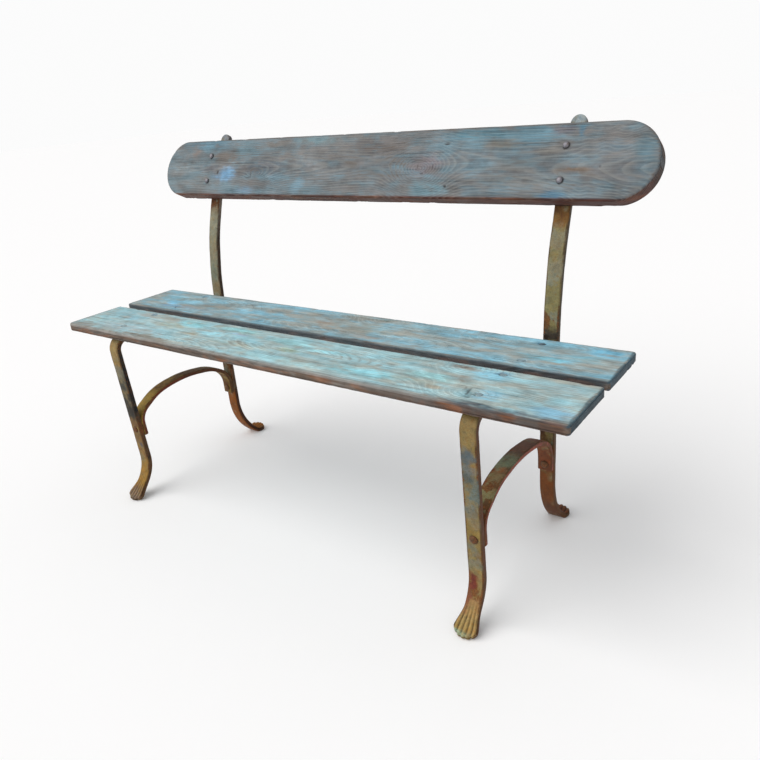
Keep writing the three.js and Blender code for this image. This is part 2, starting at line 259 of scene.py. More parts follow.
def pointed_tube(name, points, fields):
    """A mesh whose first and last rings are points on its axis."""
    count, around = points.shape[:2]
    data = with_fields(points, fields)
    poles = [data[0].mean(0), data[-1].mean(0)]
    data = np.concatenate([data[1:-1].reshape(-1, data.shape[-1]), poles])
    index = np.arange((count - 2) * around).reshape(count - 2, around)
    first, last = index.size, index.size + 1
    ends = []
    for k in range(0, around, 2):
        trio = [k, k + 1, (k + 2) % around]
        ends.append((first, *index[0, trio[::-1]]))
        ends.append((last, *index[-1, trio]))
    return build(name, data, np.concatenate([ring_faces(index), np.array(ends)]), fields)


def build(name, data, faces, fields):
    """A smooth mesh object in metres. The columns after the first three are the fields."""
    verts = data[:, :3]
    a, b, c, d = (verts[faces[:, k]] for k in range(4))
    volume = (np.cross(c - a, d - b) * (a + b + c + d)).sum()
    if volume < 0:
        faces = faces[:, ::-1]
    mesh = bpy.data.meshes.new(name)
    mesh.vertices.add(len(verts))
    mesh.vertices.foreach_set("co", (verts * MILLIMETRE).astype(np.float32).ravel())
    mesh.loops.add(faces.size)
    mesh.loops.foreach_set("vertex_index", faces.astype(np.int32).ravel())
    mesh.polygons.add(len(faces))
    mesh.polygons.foreach_set("loop_start", np.arange(0, faces.size, 4, dtype=np.int32))
    mesh.update(calc_edges=True)
    mesh.validate()
    mesh.polygons.foreach_set("use_smooth", np.ones(len(mesh.polygons), bool))
    column = 3
    for key, field in fields.items():
        if field.ndim == 3:
            rgba = np.ones((len(verts), 4), np.float32)
            rgba[:, :3] = data[:, column:column + 3]
            mesh.attributes.new(key, "FLOAT_COLOR", "POINT").data.foreach_set("color", rgba.ravel())
            column += 3
        else:
            values = data[:, column].astype(np.float32)
            mesh.attributes.new(key, "FLOAT", "POINT").data.foreach_set("value", values)
            column += 1
    piece = bpy.data.objects.new(name, mesh)
    bpy.context.scene.collection.objects.link(piece)
    return piece


def stands_for(piece, node, material):
    """Shows a piece in place of a frame node."""
    piece.data.materials.append(material)
    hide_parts(node)
    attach(piece, "root")


# -------------------- material nodes
class Nodes:
    """Short calls for building a node material."""

    def __init__(self, name):
        self.material = bpy.data.materials.new(name)
        self.material.use_nodes = True
        self.tree = self.material.node_tree
        self.shader = self.tree.nodes["Principled BSDF"]

    def new(self, kind, **settings):
        node = self.tree.nodes.new(kind)
        for key, value in settings.items():
            setattr(node, key, value)
        return node

    def put(self, socket, value):
        if isinstance(value, bpy.types.NodeSocket):
            self.tree.links.new(value, socket)
        elif isinstance(value, (int, float)):
            socket.default_value = value
        elif len(value) == 3 and len(socket.default_value) == 4:
            socket.default_value = (*value, 1)
        else:
            socket.default_value = tuple(value)

    def fill(self, node, **values):
        """Puts values in a node's inputs. An underscore in a key is a space in the input's name."""
        for key, value in values.items():
            self.put(node.inputs[key.replace("_", " ")], value)

    def place(self):
        return self.new("ShaderNodeTexCoord").outputs["Object"]

    def field(self, name):
        return self.new("ShaderNodeAttribute", attribute_name=name).outputs["Fac"]

    def math(self, operation, a, b=0.0):
        node = self.new("ShaderNodeMath", operation=operation)
        self.put(node.inputs[0], a)
        self.put(node.inputs[1], b)
        return node.outputs[0]

    def add(self, *values):
        return functools.reduce(functools.partial(self.math, "ADD"), values)

    def times(self, *values):
        return functools.reduce(functools.partial(self.math, "MULTIPLY"), values)

    def swing(self, value, amount, middle=0.5):
        """A value's distance from its middle, times an amount."""
        return self.times(self.add(value, -middle), amount)

    def ramp(self, value, low, high, to_low=0.0, to_high=1.0):
        node = self.new("ShaderNodeMapRange", interpolation_type="SMOOTHSTEP")
        self.fill(node, Value=value, From_Min=low, From_Max=high, To_Min=to_low, To_Max=to_high)
        return node.outputs["Result"]

    def scaled(self, vector, factors):
        node = self.new("ShaderNodeVectorMath", operation="MULTIPLY")
        self.put(node.inputs[0], vector)
        self.put(node.inputs[1], factors)
        return node.outputs[0]

    def noise(self, vector, scale, detail=3.0, roughness=0.55, distortion=0.0):
        node = self.new("ShaderNodeTexNoise")
        self.fill(node, Vector=vector, Scale=scale, Detail=detail, Roughness=roughness, Distortion=distortion)
        return node.outputs["Fac"]

    def mix(self, share, a, b, blend="MIX"):
        node = self.new("ShaderNodeMix", data_type="RGBA", blend_type=blend)
        self.put(node.inputs[0], share)
        self.put(node.inputs[6], a)
        self.put(node.inputs[7], b)
        return node.outputs[2]

    def coat(self, lightness):
        """The coat field, made lighter or darker."""
        gain = self.add(1.0, lightness)
        grey = self.new("ShaderNodeCombineColor")
        for socket in grey.inputs[:3]:
            self.put(socket, gain)
        tint = self.new("ShaderNodeAttribute", attribute_name="coat").outputs["Color"]
        return self.mix(1.0, tint, grey.outputs[0], "MULTIPLY")

    def finish(self, base, rough, height, distance, metal=0.0, specular=0.3):
        bump = self.new("ShaderNodeBump")
        self.fill(bump, Height=height, Distance=distance, Strength=1.0)
        self.fill(self.shader, Base_Color=base, Roughness=rough, Metallic=metal, Specular_IOR_Level=specular)
        self.tree.links.new(bump.outputs["Normal"], self.shader.inputs["Normal"])
        return self.material


def wood_material(name, bare_dark, bare_light, line_depth):
    """Weathered softwood with a worn wash. The fields give coat colour, rings, wear, and grime with painted
    shadow.
    """
    n = Nodes(name)
    place = n.place()
    fibre = n.noise(n.scaled(place, (14, 420, 420)), 1.0, 4.0, 0.65)
    streak = n.noise(n.scaled(place, (4, 95, 95)), 1.0, 3.0, 0.6)
    hair = n.noise(n.scaled(place, (9, 640, 640)), 1.0, 3.0, 0.7)
    cloud = n.noise(place, 38.0, 4.0, 0.6)
    speck = n.noise(place, 330.0, 2.0, 0.6)
    turn = n.math("FRACT", n.add(n.field("ring"), n.swing(fibre, 0.35)))
    late = n.times(n.ramp(turn, 0.30, 0.80), n.ramp(turn, 0.84, 1.0, 1.0, 0.0))
    bare = n.mix(n.ramp(fibre, 0.3, 0.7), colour(bare_dark), colour(bare_light))
    bare = n.mix(n.times(late, 0.45), bare, colour(bare_dark))
    rubbed = n.add(n.field("wear"), n.swing(streak, 0.9), n.swing(fibre, 0.7), n.swing(cloud, 0.6),
                   n.swing(late, 0.22, 0.4))
    bare_share = n.ramp(rubbed, 0.30, 0.72)
    # Ring lines are weak where the coat is least worn.
    shown = n.ramp(n.field("wear"), -0.45, 0.0, 0.2, 1.0)
    lines = n.times(n.swing(late, 1.4 * line_depth, 0.4), shown)
    coarse = n.add(n.swing(fibre, 1.15), n.swing(streak, 0.8), lines)
    coat = n.coat(n.add(coarse, n.swing(cloud, 0.9), n.swing(hair, 0.7)))
    coat = n.mix(n.times(late, line_depth, shown), coat, colour("9a988a"))
    base = n.mix(n.times(bare_share, 0.7), coat, bare)
    split = n.noise(n.scaled(place, (5, 330, 330)), 1.0, 5.0, 0.7, 0.25)
    split = n.times(n.ramp(split, 0.60, 0.68), n.ramp(n.noise(place, 9.0, 2.0), 0.42, 0.6, 0.25, 1.0))
    base = n.mix(n.times(split, 0.62), base, colour("3b322c"))
    # The darkening field holds grime, and painted shadow round the bolt heads.
    dirt = n.ramp(n.add(n.field("dirt"), n.swing(speck, 0.35)), 0.15, 0.95)
    base = n.mix(n.times(dirt, 0.85), base, colour("2c2420"))
    rough = n.add(0.66, n.times(bare_share, 0.16))
    hollow = n.add(bare_share, n.times(split, 2.5))
    height = n.add(n.times(late, 0.45), n.times(fibre, 0.5), n.times(hollow, -0.2))
    return n.finish(base, rough, height, 0.0012, specular=0.25)


def iron_material(name, metal=0.0, rough=0.62, shine=0.22):
    """Old paint over forged iron. The fields give coat colour, rust, edge, and grime with painted shade."""
    n = Nodes(name)
    place = n.place()
    cloud = n.noise(place, 90.0, 5.0, 0.65)
    blotch = n.noise(place, 210.0, 5.0, 0.68, 0.6)
    grit = n.noise(place, 620.0, 3.0, 0.65)
    fine = n.noise(place, 150.0, 6.0, 0.75, 0.4)
    coat = n.coat(n.add(n.swing(cloud, 0.9), n.swing(grit, 1.0)))
    coat = n.mix(n.times(n.ramp(fine, 0.50, 0.64), 0.7), coat, colour("ffddb4"), "MULTIPLY")
    coat = n.mix(n.times(n.ramp(fine, 0.36, 0.48, 1.0, 0.0), 0.7), coat, colour("c4d0d6"), "MULTIPLY")
    rust_level = n.add(n.field("rust"), n.swing(blotch, 1.3), n.times(n.field("edge"), 0.24))
    rust_share = n.ramp(rust_level, 0.36, 0.66)
    rust = n.mix(n.ramp(grit, 0.35, 0.65), colour("4a2616"), colour("8f5a30"))
    rust = n.mix(n.ramp(cloud, 0.42, 0.62), rust, colour("5a3a24"))
    base = n.mix(n.times(rust_share, 0.85), coat, rust)
    speck = n.ramp(n.noise(place, 300.0, 4.0, 0.7), 0.60, 0.72)
    base = n.mix(n.times(speck, 0.5), base, colour("3a2a18"))
    # The darkening field holds grime and painted shade.
    dirt = n.ramp(n.add(n.field("dirt"), n.swing(blotch, 0.5)), 0.2, 0.85)
    base = n.mix(n.times(dirt, 0.85), base, colour("231a12"))
    height = n.add(n.times(blotch, 0.5), n.times(grit, 0.35), n.times(rust_share, -0.35))
    return n.finish(base, n.add(rough, n.times(rust_share, 0.25)), height, 0.0006, metal, shine)


# -------------------- wood
def ring_field(u, v, look, seed):
    """Growth rings on a face: nested round each centre and running together between them."""
    place = np.stack([u, v, np.full_like(u, 13.0 * seed)], -1)
    curly = smooth(u, 400, 540) * look["curly"]
    wave = layered(place, (34, 60, 50), seed + 6, 2)
    u = u + (9 + 8 * curly) * layered(place, (120, 40, 50), seed)
    v = v + (4.5 + 2 * curly) * layered(place, (90, 34, 50), seed + 3) + 11 * curly * wave
    blend = 9.0
    total = np.zeros_like(u)
    for cu, cv, squeeze, start in look["centres"]:
        away = np.hypot((u - cu) * squeeze, v - cv) + start
        total += np.exp(-away / blend)
    return -blend * np.log(total) / look["pitch"]


def late_wood(turn):
    """The dark share of a growth ring, rising slowly and ending sharply."""
    return smooth(turn, 0.3, 0.8) * (1 - smooth(turn, 0.84, 1.0))


def edge_radii(x, base, spread, seed):
    """How rounded one long edge is at each place along the board."""
    place = np.stack([x, np.zeros_like(x), np.zeros_like(x)], -1)
    return base + spread * layered(place, 70, seed)


def mottled(coat, place, look, size, seed, swing):
    """A coat drifting between the wash's cooler and warmer colours."""
    hue = 1.8 * layered(place, size, seed, 4)
    coat = laid_over(coat, np.clip(hue, 0, 1) * swing, colour(look["cool"]))
    return laid_over(coat, np.clip(-hue, 0, 1) * swing, colour(look["warm"]))


class Board:
    """A plank as rings along X. Its plan is a rectangle with rounded corners."""

    EDGES = ("top_front", "top_rear", "low_front", "low_rear")
    ACROSS = 100
    DEEP = 5
    EDGE_STEPS = 7
    STEP = 2.95
    SMALLEST_STEP = 0.35
    BLUNT_END = 0.45
    BIG_CORNER = 50

    def __init__(self, length, depth, thickness, corners, edges, seed, fine=()):
        """corners are the front, rear and right front radii. fine holds places with close rings."""
        self.half, self.depth, self.thickness = length / 2, depth, thickness
        self.front_corner, self.rear_corner, self.right_corner = corners
        self.seed = seed
        self.x = self.stations(fine)
        self.radii = {key: edge_radii(self.x, *edges[key], seed + k) for k, key in enumerate(self.EDGES)}
        self.make()

    def stations(self, fine):
        """Places of the rings, closer together in the corners and round the bolts."""
        half_round = self.front_corner > self.BIG_CORNER
        blunt = self.BLUNT_END if half_round else 0.0
        big = max(self.front_corner, self.rear_corner, 7)
        share = np.linspace(0, 1, 30 if half_round else 14)
        curved = self.half - big + big * np.sin(share * math.asin((big - blunt) / big))
        straight = np.arange(-(self.half - big), self.half - big, self.STEP)
        parts = [straight, curved, -curved]
        parts += [place + np.linspace(-15, 15, 26) for place in fine]
        x = np.unique(np.round(np.concatenate(parts), 3))
        keep = [x[0]]
        for value in x[1:-1]:
            if value - keep[-1] > self.SMALLEST_STEP:
                keep.append(value)
        return np.array([*keep, x[-1]])

    def front_at(self, x):
        """Radius of the front corner at either end."""
        return np.where(x > 0, self.right_corner, self.front_corner)

    def limits(self):
        """The lowest and highest place across the board at each station."""
        front = self.front_at(self.x)
        past_front = np.clip(np.abs(self.x) - (self.half - front), 0, None)
        past_rear = np.clip(np.abs(self.x) - (self.half - self.rear_corner), 0, None)
        low = front - np.sqrt(np.maximum(front**2 - past_front**2, 0))
        high = self.rear_corner - np.sqrt(np.maximum(self.rear_corner**2 - past_rear**2, 0))
        return low, self.depth - high

    def inside(self, x, v):
        """Distance in from the outline."""
        ax = np.abs(x)
        best = np.minimum(np.minimum(v, self.depth - v), self.half - ax)
        for corner, away in ((self.front_at(x), v), (self.rear_corner, self.depth - v)):
            dx, dv = ax - (self.half - corner), corner - away
            in_corner = (dx > 0) & (dv > 0)
            best = np.where(in_corner, np.minimum(best, corner - np.hypot(dx, dv)), best)
        return np.clip(best, 0, None)

    def rows(self, low, high, front, rear):
        """Places across a face, close together where its edges are rounded."""
        phi = np.linspace(0, math.pi / 2, self.EDGE_STEPS)
        room = 0.25 * (high - low)
        near = low[:, None] + np.minimum(front, room)[:, None] * (1 - np.cos(phi))
        far = high[:, None] - np.minimum(rear, room)[:, None] * (1 - np.cos(phi[::-1]))
        share = np.linspace(0, 1, self.ACROSS - 2 * self.EDGE_STEPS + 2)[1:-1]
        middle = near[:, -1:] + share * (far[:, :1] - near[:, -1:])
        return np.concatenate([near, middle, far], 1)

    def face(self, key, low, high):
        """Places and heights across the top or low face at each station."""
        front, rear = self.radii[f"{key}_front"], self.radii[f"{key}_rear"]
        v = self.rows(low, high, front, rear)
        radius = front[:, None] + (rear - front)[:, None] * v / self.depth
        near = np.minimum(self.inside(self.x[:, None], v), radius)
        drop = radius - np.sqrt(np.maximum(radius**2 - (radius - near) ** 2, 0))
        return v, self.thickness - drop if key == "top" else drop

    def make(self):
        low, high = self.limits()
        (top_v, top_w), (low_v, low_w) = self.face("top", low, high), self.face("low", low, high)
        share = (np.arange(self.DEEP) + 1) / (self.DEEP + 1)
        right_w = top_w[:, -1:] + share * (low_w[:, -1:] - top_w[:, -1:])
        left_w = low_w[:, :1] + share * (top_w[:, :1] - low_w[:, :1])
        right_v, left_v = (np.repeat(side[:, None], self.DEEP, 1) for side in (high, low))
        self.v = np.concatenate([top_v, right_v, low_v[:, ::-1], left_v], 1)
        self.w = np.concatenate([top_w, right_w, low_w[:, ::-1], left_w], 1)
        self.u = np.broadcast_to(self.x[:, None], self.v.shape)
        number = np.arange(self.v.shape[1])
        self.top = (number < self.ACROSS)[None, :]
        self.low = ((number >= self.ACROSS + self.DEEP) & (number < 2 * self.ACROSS + self.DEEP))[None, :]

    def points(self, height):
        """Places of all points, moved out by a height, in board axes."""
        flat = np.stack([self.u, self.v, self.w], -1)
        return flat + outward(flat) * height[..., None]


UNDERSIDE_SHIFT = 61.0


def board_relief(board, look, place, ring, edge, holes, cracks):
    """Height of each point above the plain board: grain, wear, holes, cracks and bolt sinks."""
    seed = board.seed
    slope = np.abs(np.gradient(ring, axis=0) / np.gradient(board.x)[:, None])
    lengthwise = 1 - smooth(slope, 0.03, 0.1)
    height = look["relief"] * (late_wood(ring % 1.0) - 0.4) * lengthwise * (board.top | board.low)
    height += 0.35 * layered(place, (140, 38, 38), seed + 11)
    height += 0.16 * layered(place, (40, 5, 5), seed + 12)
    height -= 1.3 * edge * smooth(layered(place, (24, 16, 16), seed + 13), 0.25, 0.7)
    height -= 2.2 * holes
    height -= 0.9 * cracks
    for bolt_x, bolt_v, reach in look["sinks"]:
        away = np.hypot(board.u - bolt_x, board.v - bolt_v)
        height -= 2.7 * (1 - smooth(away, reach - 1.2, reach + 1.8)) * board.top
    return height


def rim_coat(board, look, place, shade):
    """Colours of the sides and ends: darker to the right, with rusty, grey and dark stretches. The dark ends
    are partly painted shade.
    """
    u, seed = board.u, board.seed
    coat = colour(look["rim_colour"]) * (1 + 0.35 * (shade - 0.5))[..., None]
    faded = 1 - look["rim_fade"] * smooth(u, 200, 430)
    coat = coat * faded[..., None] ** np.array([0.6, 1.15, 1.35])
    rusty = smooth(layered(place, (46, 8, 9), seed + 27, 4), 0.0, 0.35) * look["rusty"]
    coat = laid_over(coat, rusty, colour("84502c"))
    lower = 1 - smooth(board.w + 4 * layered(place, (30, 20, 20), seed + 29, 4), 8, 17)
    # The end faces' dark colour is partly the end grain's own and partly painted shade.
    end_coat = laid_over(colour(look["end_colour"]), lower, colour(look["end_low"]))
    ends = smooth(np.abs(u), board.half - 14, board.half - 3)
    coat = laid_over(coat, 0.85 * ends * (1 - 0.6 * rusty), end_coat)
    grey = smooth(layered(place, (38, 7, 8), seed + 30, 4), 0.1, 0.45) * look["rusty"]
    grey = grey * (1 - 0.8 * smooth(u, 150, 400))
    return laid_over(coat, 0.5 * grey, colour("8d8f8c"))


def board_coat(board, look, place, rim):
    """The wash on the faces, then the rim, the front strip and the dark worn ends. The strip is worn on the
    front plank. On the rear plank it is dark, partly painted shade of the gap between the planks.
    """
    u, v, seed = board.u, board.v, board.seed
    coat = mottled(plain_coat(look["base"], u.shape), place, look, (120, 30, 30), seed + 22, look["swing"])
    coat = painted(coat, u, v, look["patches"], 7.0, 0.36)
    coat = mottled(coat, place, look, (30, 12, 12), seed + 25, 0.75 * look["swing"])
    drift = 1 + look["drift"] * layered(place, (60, 14, 14), seed + 21, 4)
    coat = coat * drift[..., None] * look["tone"]
    shade = smooth(layered(place, (60, 12, 12), seed + 23), -0.2, 0.6)
    coat = laid_over(coat, rim * (0.93 + 0.07 * shade), rim_coat(board, look, place, shade))
    strip = (1 - smooth(v + 5 * layered(place, (50, 20, 20), seed + 26, 4), *look["strip"])) * board.top
    right_end = smooth(u + 20 * shade, 400, 480)
    strip_coat = laid_over(colour(look["strip_colour"]), right_end, colour(look["strip_end"]))
    coat = laid_over(coat, 0.75 * strip * (1 - 0.45 * right_end), strip_coat)
    band = 4 * layered(place, (9, 26, 9), seed + 31, 4) + np.abs(u)
    worn_end = smooth(band, board.half - 7, board.half - 2) * (board.top | board.low) * look["worn_end"]
    return laid_over(coat, worn_end, colour("34505e"))


def board_grime_and_shade(board, look, place, holes, cracks):
    """Grime in the holes and cracks, and a dark ring round each bolt head, set off to the right and down:
    partly grime, partly painted shadow of the head.
    """
    dirt = np.maximum(holes, 0.75 * cracks)
    for bolt_x, bolt_v, reach in look["grime_and_shadow_rings"]:
        # The ring's centre is moved right and down, so the ring is partly a painted shadow of the head.
        away = np.hypot(board.u - bolt_x - 1.2, board.v - bolt_v + 0.8)
        away = away + 3.0 * layered(place, (9, 9, 9), board.seed + 28)
        dirt = np.maximum(dirt, 0.75 * (1 - smooth(away, reach - 2.0, reach + 1.6)) * board.top)
    return dirt


def board_piece(node, board, look, to_frame, material):
    """Relief and colour fields for one board, then its mesh."""
    u, v, w = board.u, board.v, board.w
    place = np.stack([u, v, w], -1)
    # The underside shows another part of the ring pattern than the top.
    ring = ring_field(u, v + UNDERSIDE_SHIFT * board.low, look, board.seed)
    ring = ring + 0.55 * (w - board.thickness) / look["pitch"]
    inside = np.where(board.top | board.low, board.inside(u, v), 0.0)
    edge = 1 - smooth(inside, 1.0, look["edge_reach"])
    holes = strongest(u, v, look["holes"]) * board.top
    cracks = strongest(u, v, look["cracks"], 2.0) * board.top
    rim = look["rim"](u, v, w, board)
    wear = look["wear"] + 0.25 * layered(place, (90, 24, 24), board.seed + 24) + 0.35 * edge
    wear = wear + strongest(u, v, look["bare"], 6.0) * board.top - 0.8 * rim
    coat = np.clip(board_coat(board, look, place, rim), 0.004, 1)
    dirt = board_grime_and_shade(board, look, place, holes, cracks)
    fields = {"coat": coat, "ring": ring, "wear": wear, "dirt": dirt}
    points = to_frame(board.points(board_relief(board, look, place, ring, edge, holes, cracks)))
    stands_for(tube(f"{node}_worn", points, fields, board.ACROSS, board.DEEP), node, material)


def seat_rim(u, v, w, board):
    """Share of the brown edge colour: the sides and ends, and a little of the underside."""
    side = 1 - smooth(board.inside(u, v), 0.6, 3.0)
    under = 0.45 * (1 - smooth(w, 0.0, 4.0))
    return np.maximum(side * (1 - 0.6 * smooth(w, board.thickness - 2.5, board.thickness)), under)


def back_rim(u, v, w, board):
    """Brown on the board's lower edge, its ends and its back's border."""
    side = 1 - smooth(board.inside(u, v), 0.5, 2.6)
    side = side * (1 - smooth(w, board.thickness - 4, board.thickness))
    low_edge = 1 - 0.35 * smooth(w, board.thickness - 1.0, board.thickness + 0.6)
    return np.clip(np.maximum(side, (1 - smooth(v, 2.0, 7.0)) * low_edge), 0, 1)


# The rows in these looks were placed one by one. Each begins with its place along and across the board.
# Patches, cracks, holes and bare places go on with their reach both ways and end with a strength,
# and a patch has a colour before that. A centre of growth rings goes on with how much its rings are
# squeezed along the board, and with its first radius. Sinks, and the dark rings round bolt heads that
# are partly grime and partly painted shadow, end with their reach.
SEAT_BASE = {
    "pitch": 5.2, "relief": 0.22, "edge_reach": 9.0, "swing": 0.85, "drift": 0.38, "wear": 0.22, "curly": 0,
    "cool": "98cbd6", "warm": "a7a193", "rim": seat_rim, "rim_colour": "5c483a", "rim_fade": 0.34,
    "end_colour": "2e3b42", "end_low": "6a5647", "rusty": 0.6, "worn_end": 0.75, "grime_and_shadow_rings": (), "holes": (),
}

FRONT_PLANK = {
    **SEAT_BASE, "base": "a2babb", "tone": (0.995, 1.045, 1.08),
    "strip": (2, 15), "strip_colour": "898682", "strip_end": "535a60",
    "sinks": [(FRAME_PLACE, 45.5, 7.6), (FRAME_PLACE, 135, 7.4),
              (-FRAME_PLACE, 135, 7.2), (-FRAME_PLACE, 45.5, 6.8)],
    "centres": [
        (-700, -60, 0.02, 0), (60, 86, 0.24, 6), (-420, 200, 0.10, 0), (405, 140, 0.5, 14),
        (462, 44, 0.5, 16), (-330, 15, 0.2, 10), (640, 90, 0.15, 8),
    ],
    "cracks": [
        (455, 46, 4, 20, 0.9), (470, 40, 12, 3, 0.8), (445, 56, 3, 12, 0.7), (461, 27, 9, 3, 0.7),
        (439, 38, 8, 2.5, 0.5), (402, 138, 9, 5, 0.8), (100, 88, 16, 4, 0.4),
    ],
    "bare": [
        (-420, 130, 70, 14, 0.25), (-350, 14, 80, 9, 0.5), (-600, 20, 60, 18, 0.3),
        (420, 92, 30, 16, 0.3), (-100, 58, 80, 12, 0.2), (560, 110, 60, 20, 0.2),
    ],
    "patches": [
        (-560, 118, 60, 22, "92b9c2", 0.9), (-515, 96, 40, 12, "96bcc8", 0.8),
        (-595, 56, 34, 12, "a9cfcf", 0.7), (-480, 128, 40, 22, "a0a5a3", 0.7),
        (-410, 130, 70, 18, "abb0a8", 0.9), (-350, 96, 60, 18, "acb5a7", 0.9),
        (-450, 40, 120, 26, "a6b3b6", 0.7), (-265, 71, 34, 9, "a59e8a", 0.95),
        (-310, 121, 52, 20, "93cdd3", 1.0), (-212, 90, 42, 14, "a4dbe6", 0.95),
        (-235, 125, 20, 16, "a3aea5", 0.8), (-165, 130, 60, 16, "97cccc", 1.0),
        (-148, 108, 26, 9, "a3c6df", 0.9), (-100, 60, 100, 14, "abb7ad", 0.9),
        (0, 112, 60, 20, "9acbcc", 0.8), (30, 75, 40, 12, "a0ae9a", 0.95),
        (110, 99, 60, 10, "a4d8df", 0.95), (100, 87, 24, 7, "87a0a3", 0.9),
        (50, 28, 140, 14, "a3cdd1", 0.8), (240, 44, 76, 24, "97d5df", 1.0),
        (270, 136, 80, 14, "9aa8a3", 0.8), (350, 50, 50, 10, "9aaaa2", 0.9),
        (372, 78, 70, 18, "93bfc0", 0.9), (390, 40, 16, 12, "b0a896", 0.9),
        (400, 138, 30, 12, "8d857b", 0.95), (422, 92, 26, 24, "97a09d", 0.9),
        (462, 120, 40, 24, "8cc0d2", 1.0), (492, 46, 28, 20, "8cc5da", 1.0),
        (455, 44, 9, 22, "6f7d7d", 0.9), (560, 84, 50, 40, "8fa6a8", 0.8),
        (612, 30, 44, 22, "90c2da", 0.95), (590, 120, 40, 12, "9cb1b5", 0.6),
        (-350, 12, 90, 8, "968f86", 0.5), (-600, 14, 50, 14, "9a9391", 0.6),
        (476, 138, 12, 8, "5f7f93", 0.9), (-476, 136, 12, 7, "7b93a0", 0.9),
        (492, 5, 60, 9, "414a54", 0.95), (575, 9, 34, 6, "5c7484", 0.8), (618, 2, 26, 7, "6a463a", 0.95),
        (545, 0, 16, 5, "704c3c", 0.9), (430, 2, 22, 5, "6b5146", 0.8),
    ],
}

REAR_PLANK = {
    **SEAT_BASE, "base": "90a8ac", "tone": (0.975, 1.02, 1.065), "cool": "82b9cc", "warm": "9e998d",
    # On this plank the dark front strip is partly painted shade of the gap between the planks.
    "strip": (2, 9), "strip_colour": "4d565c", "strip_end": "3a434a", "rim_colour": "3c4248", "rusty": 0.2,
    "sinks": [(side * FRAME_PLACE, depth - REAR_PLANK_START, 7.6)
              for side in (-1, 1) for depth in SEAT_BOLTS[2:]],
    "centres": [
        (-700, 210, 0.02, 0), (120, 40, 0.22, 4), (-300, -60, 0.10, 0), (470, 120, 0.3, 12),
        (115, 134, 0.5, 16), (-560, 90, 0.2, 8), (640, 30, 0.2, 6),
    ],
    "cracks": [
        (360, 62, 10, 2.5, 0.7), (345, 56, 8, 2, 0.6), (112, 132, 9, 6, 0.6), (-338, 28, 9, 2.5, 0.6),
        (616, 124, 12, 4, 0.6),
    ],
    "bare": [
        (-380, 72, 80, 16, 0.25), (80, 60, 60, 30, 0.25), (540, 95, 50, 14, 0.2), (-20, 72, 24, 12, 0.3),
    ],
    "patches": [
        (-590, 122, 60, 20, "87b3c2", 0.9), (-560, 92, 44, 16, "8ab6c1", 0.9),
        (-525, 56, 22, 14, "86c6e2", 1.0), (-500, 34, 40, 12, "86b0c8", 0.9),
        (-450, 44, 30, 16, "9a9da0", 0.6), (-380, 72, 80, 18, "949c98", 0.9),
        (-270, 124, 90, 16, "86adb9", 0.9), (-400, 36, 60, 10, "8caab8", 0.6),
        (-20, 73, 26, 13, "a39a90", 0.95), (-8, 56, 22, 10, "a39b8f", 0.8),
        (100, 70, 70, 30, "9ca69e", 0.8), (130, 26, 40, 14, "aca89f", 0.9),
        (230, 122, 60, 16, "82a4ac", 0.9), (250, 80, 60, 10, "9fa59f", 0.6),
        (330, 112, 20, 14, "85acb6", 0.8), (420, 104, 40, 18, "8ab4c0", 0.9),
        (515, 54, 56, 13, "86c8d8", 1.0), (575, 82, 40, 20, "84b0b9", 0.9),
        (602, 122, 40, 20, "70b2cb", 1.0), (525, 98, 50, 12, "97a6a6", 0.8),
        (476, 35, 12, 8, "6f97ab", 0.8), (474, 126, 12, 8, "5b7d8f", 0.95),
        (112, 132, 16, 9, "7b8a84", 0.9), (-480, 30, 12, 7, "7290a1", 0.8),
        (-478, 130, 12, 7, "6d8ea0", 0.8), (150, 4, 40, 5, "8b6f5d", 0.8), (560, 4, 50, 6, "8a7670", 0.7),
    ],
}

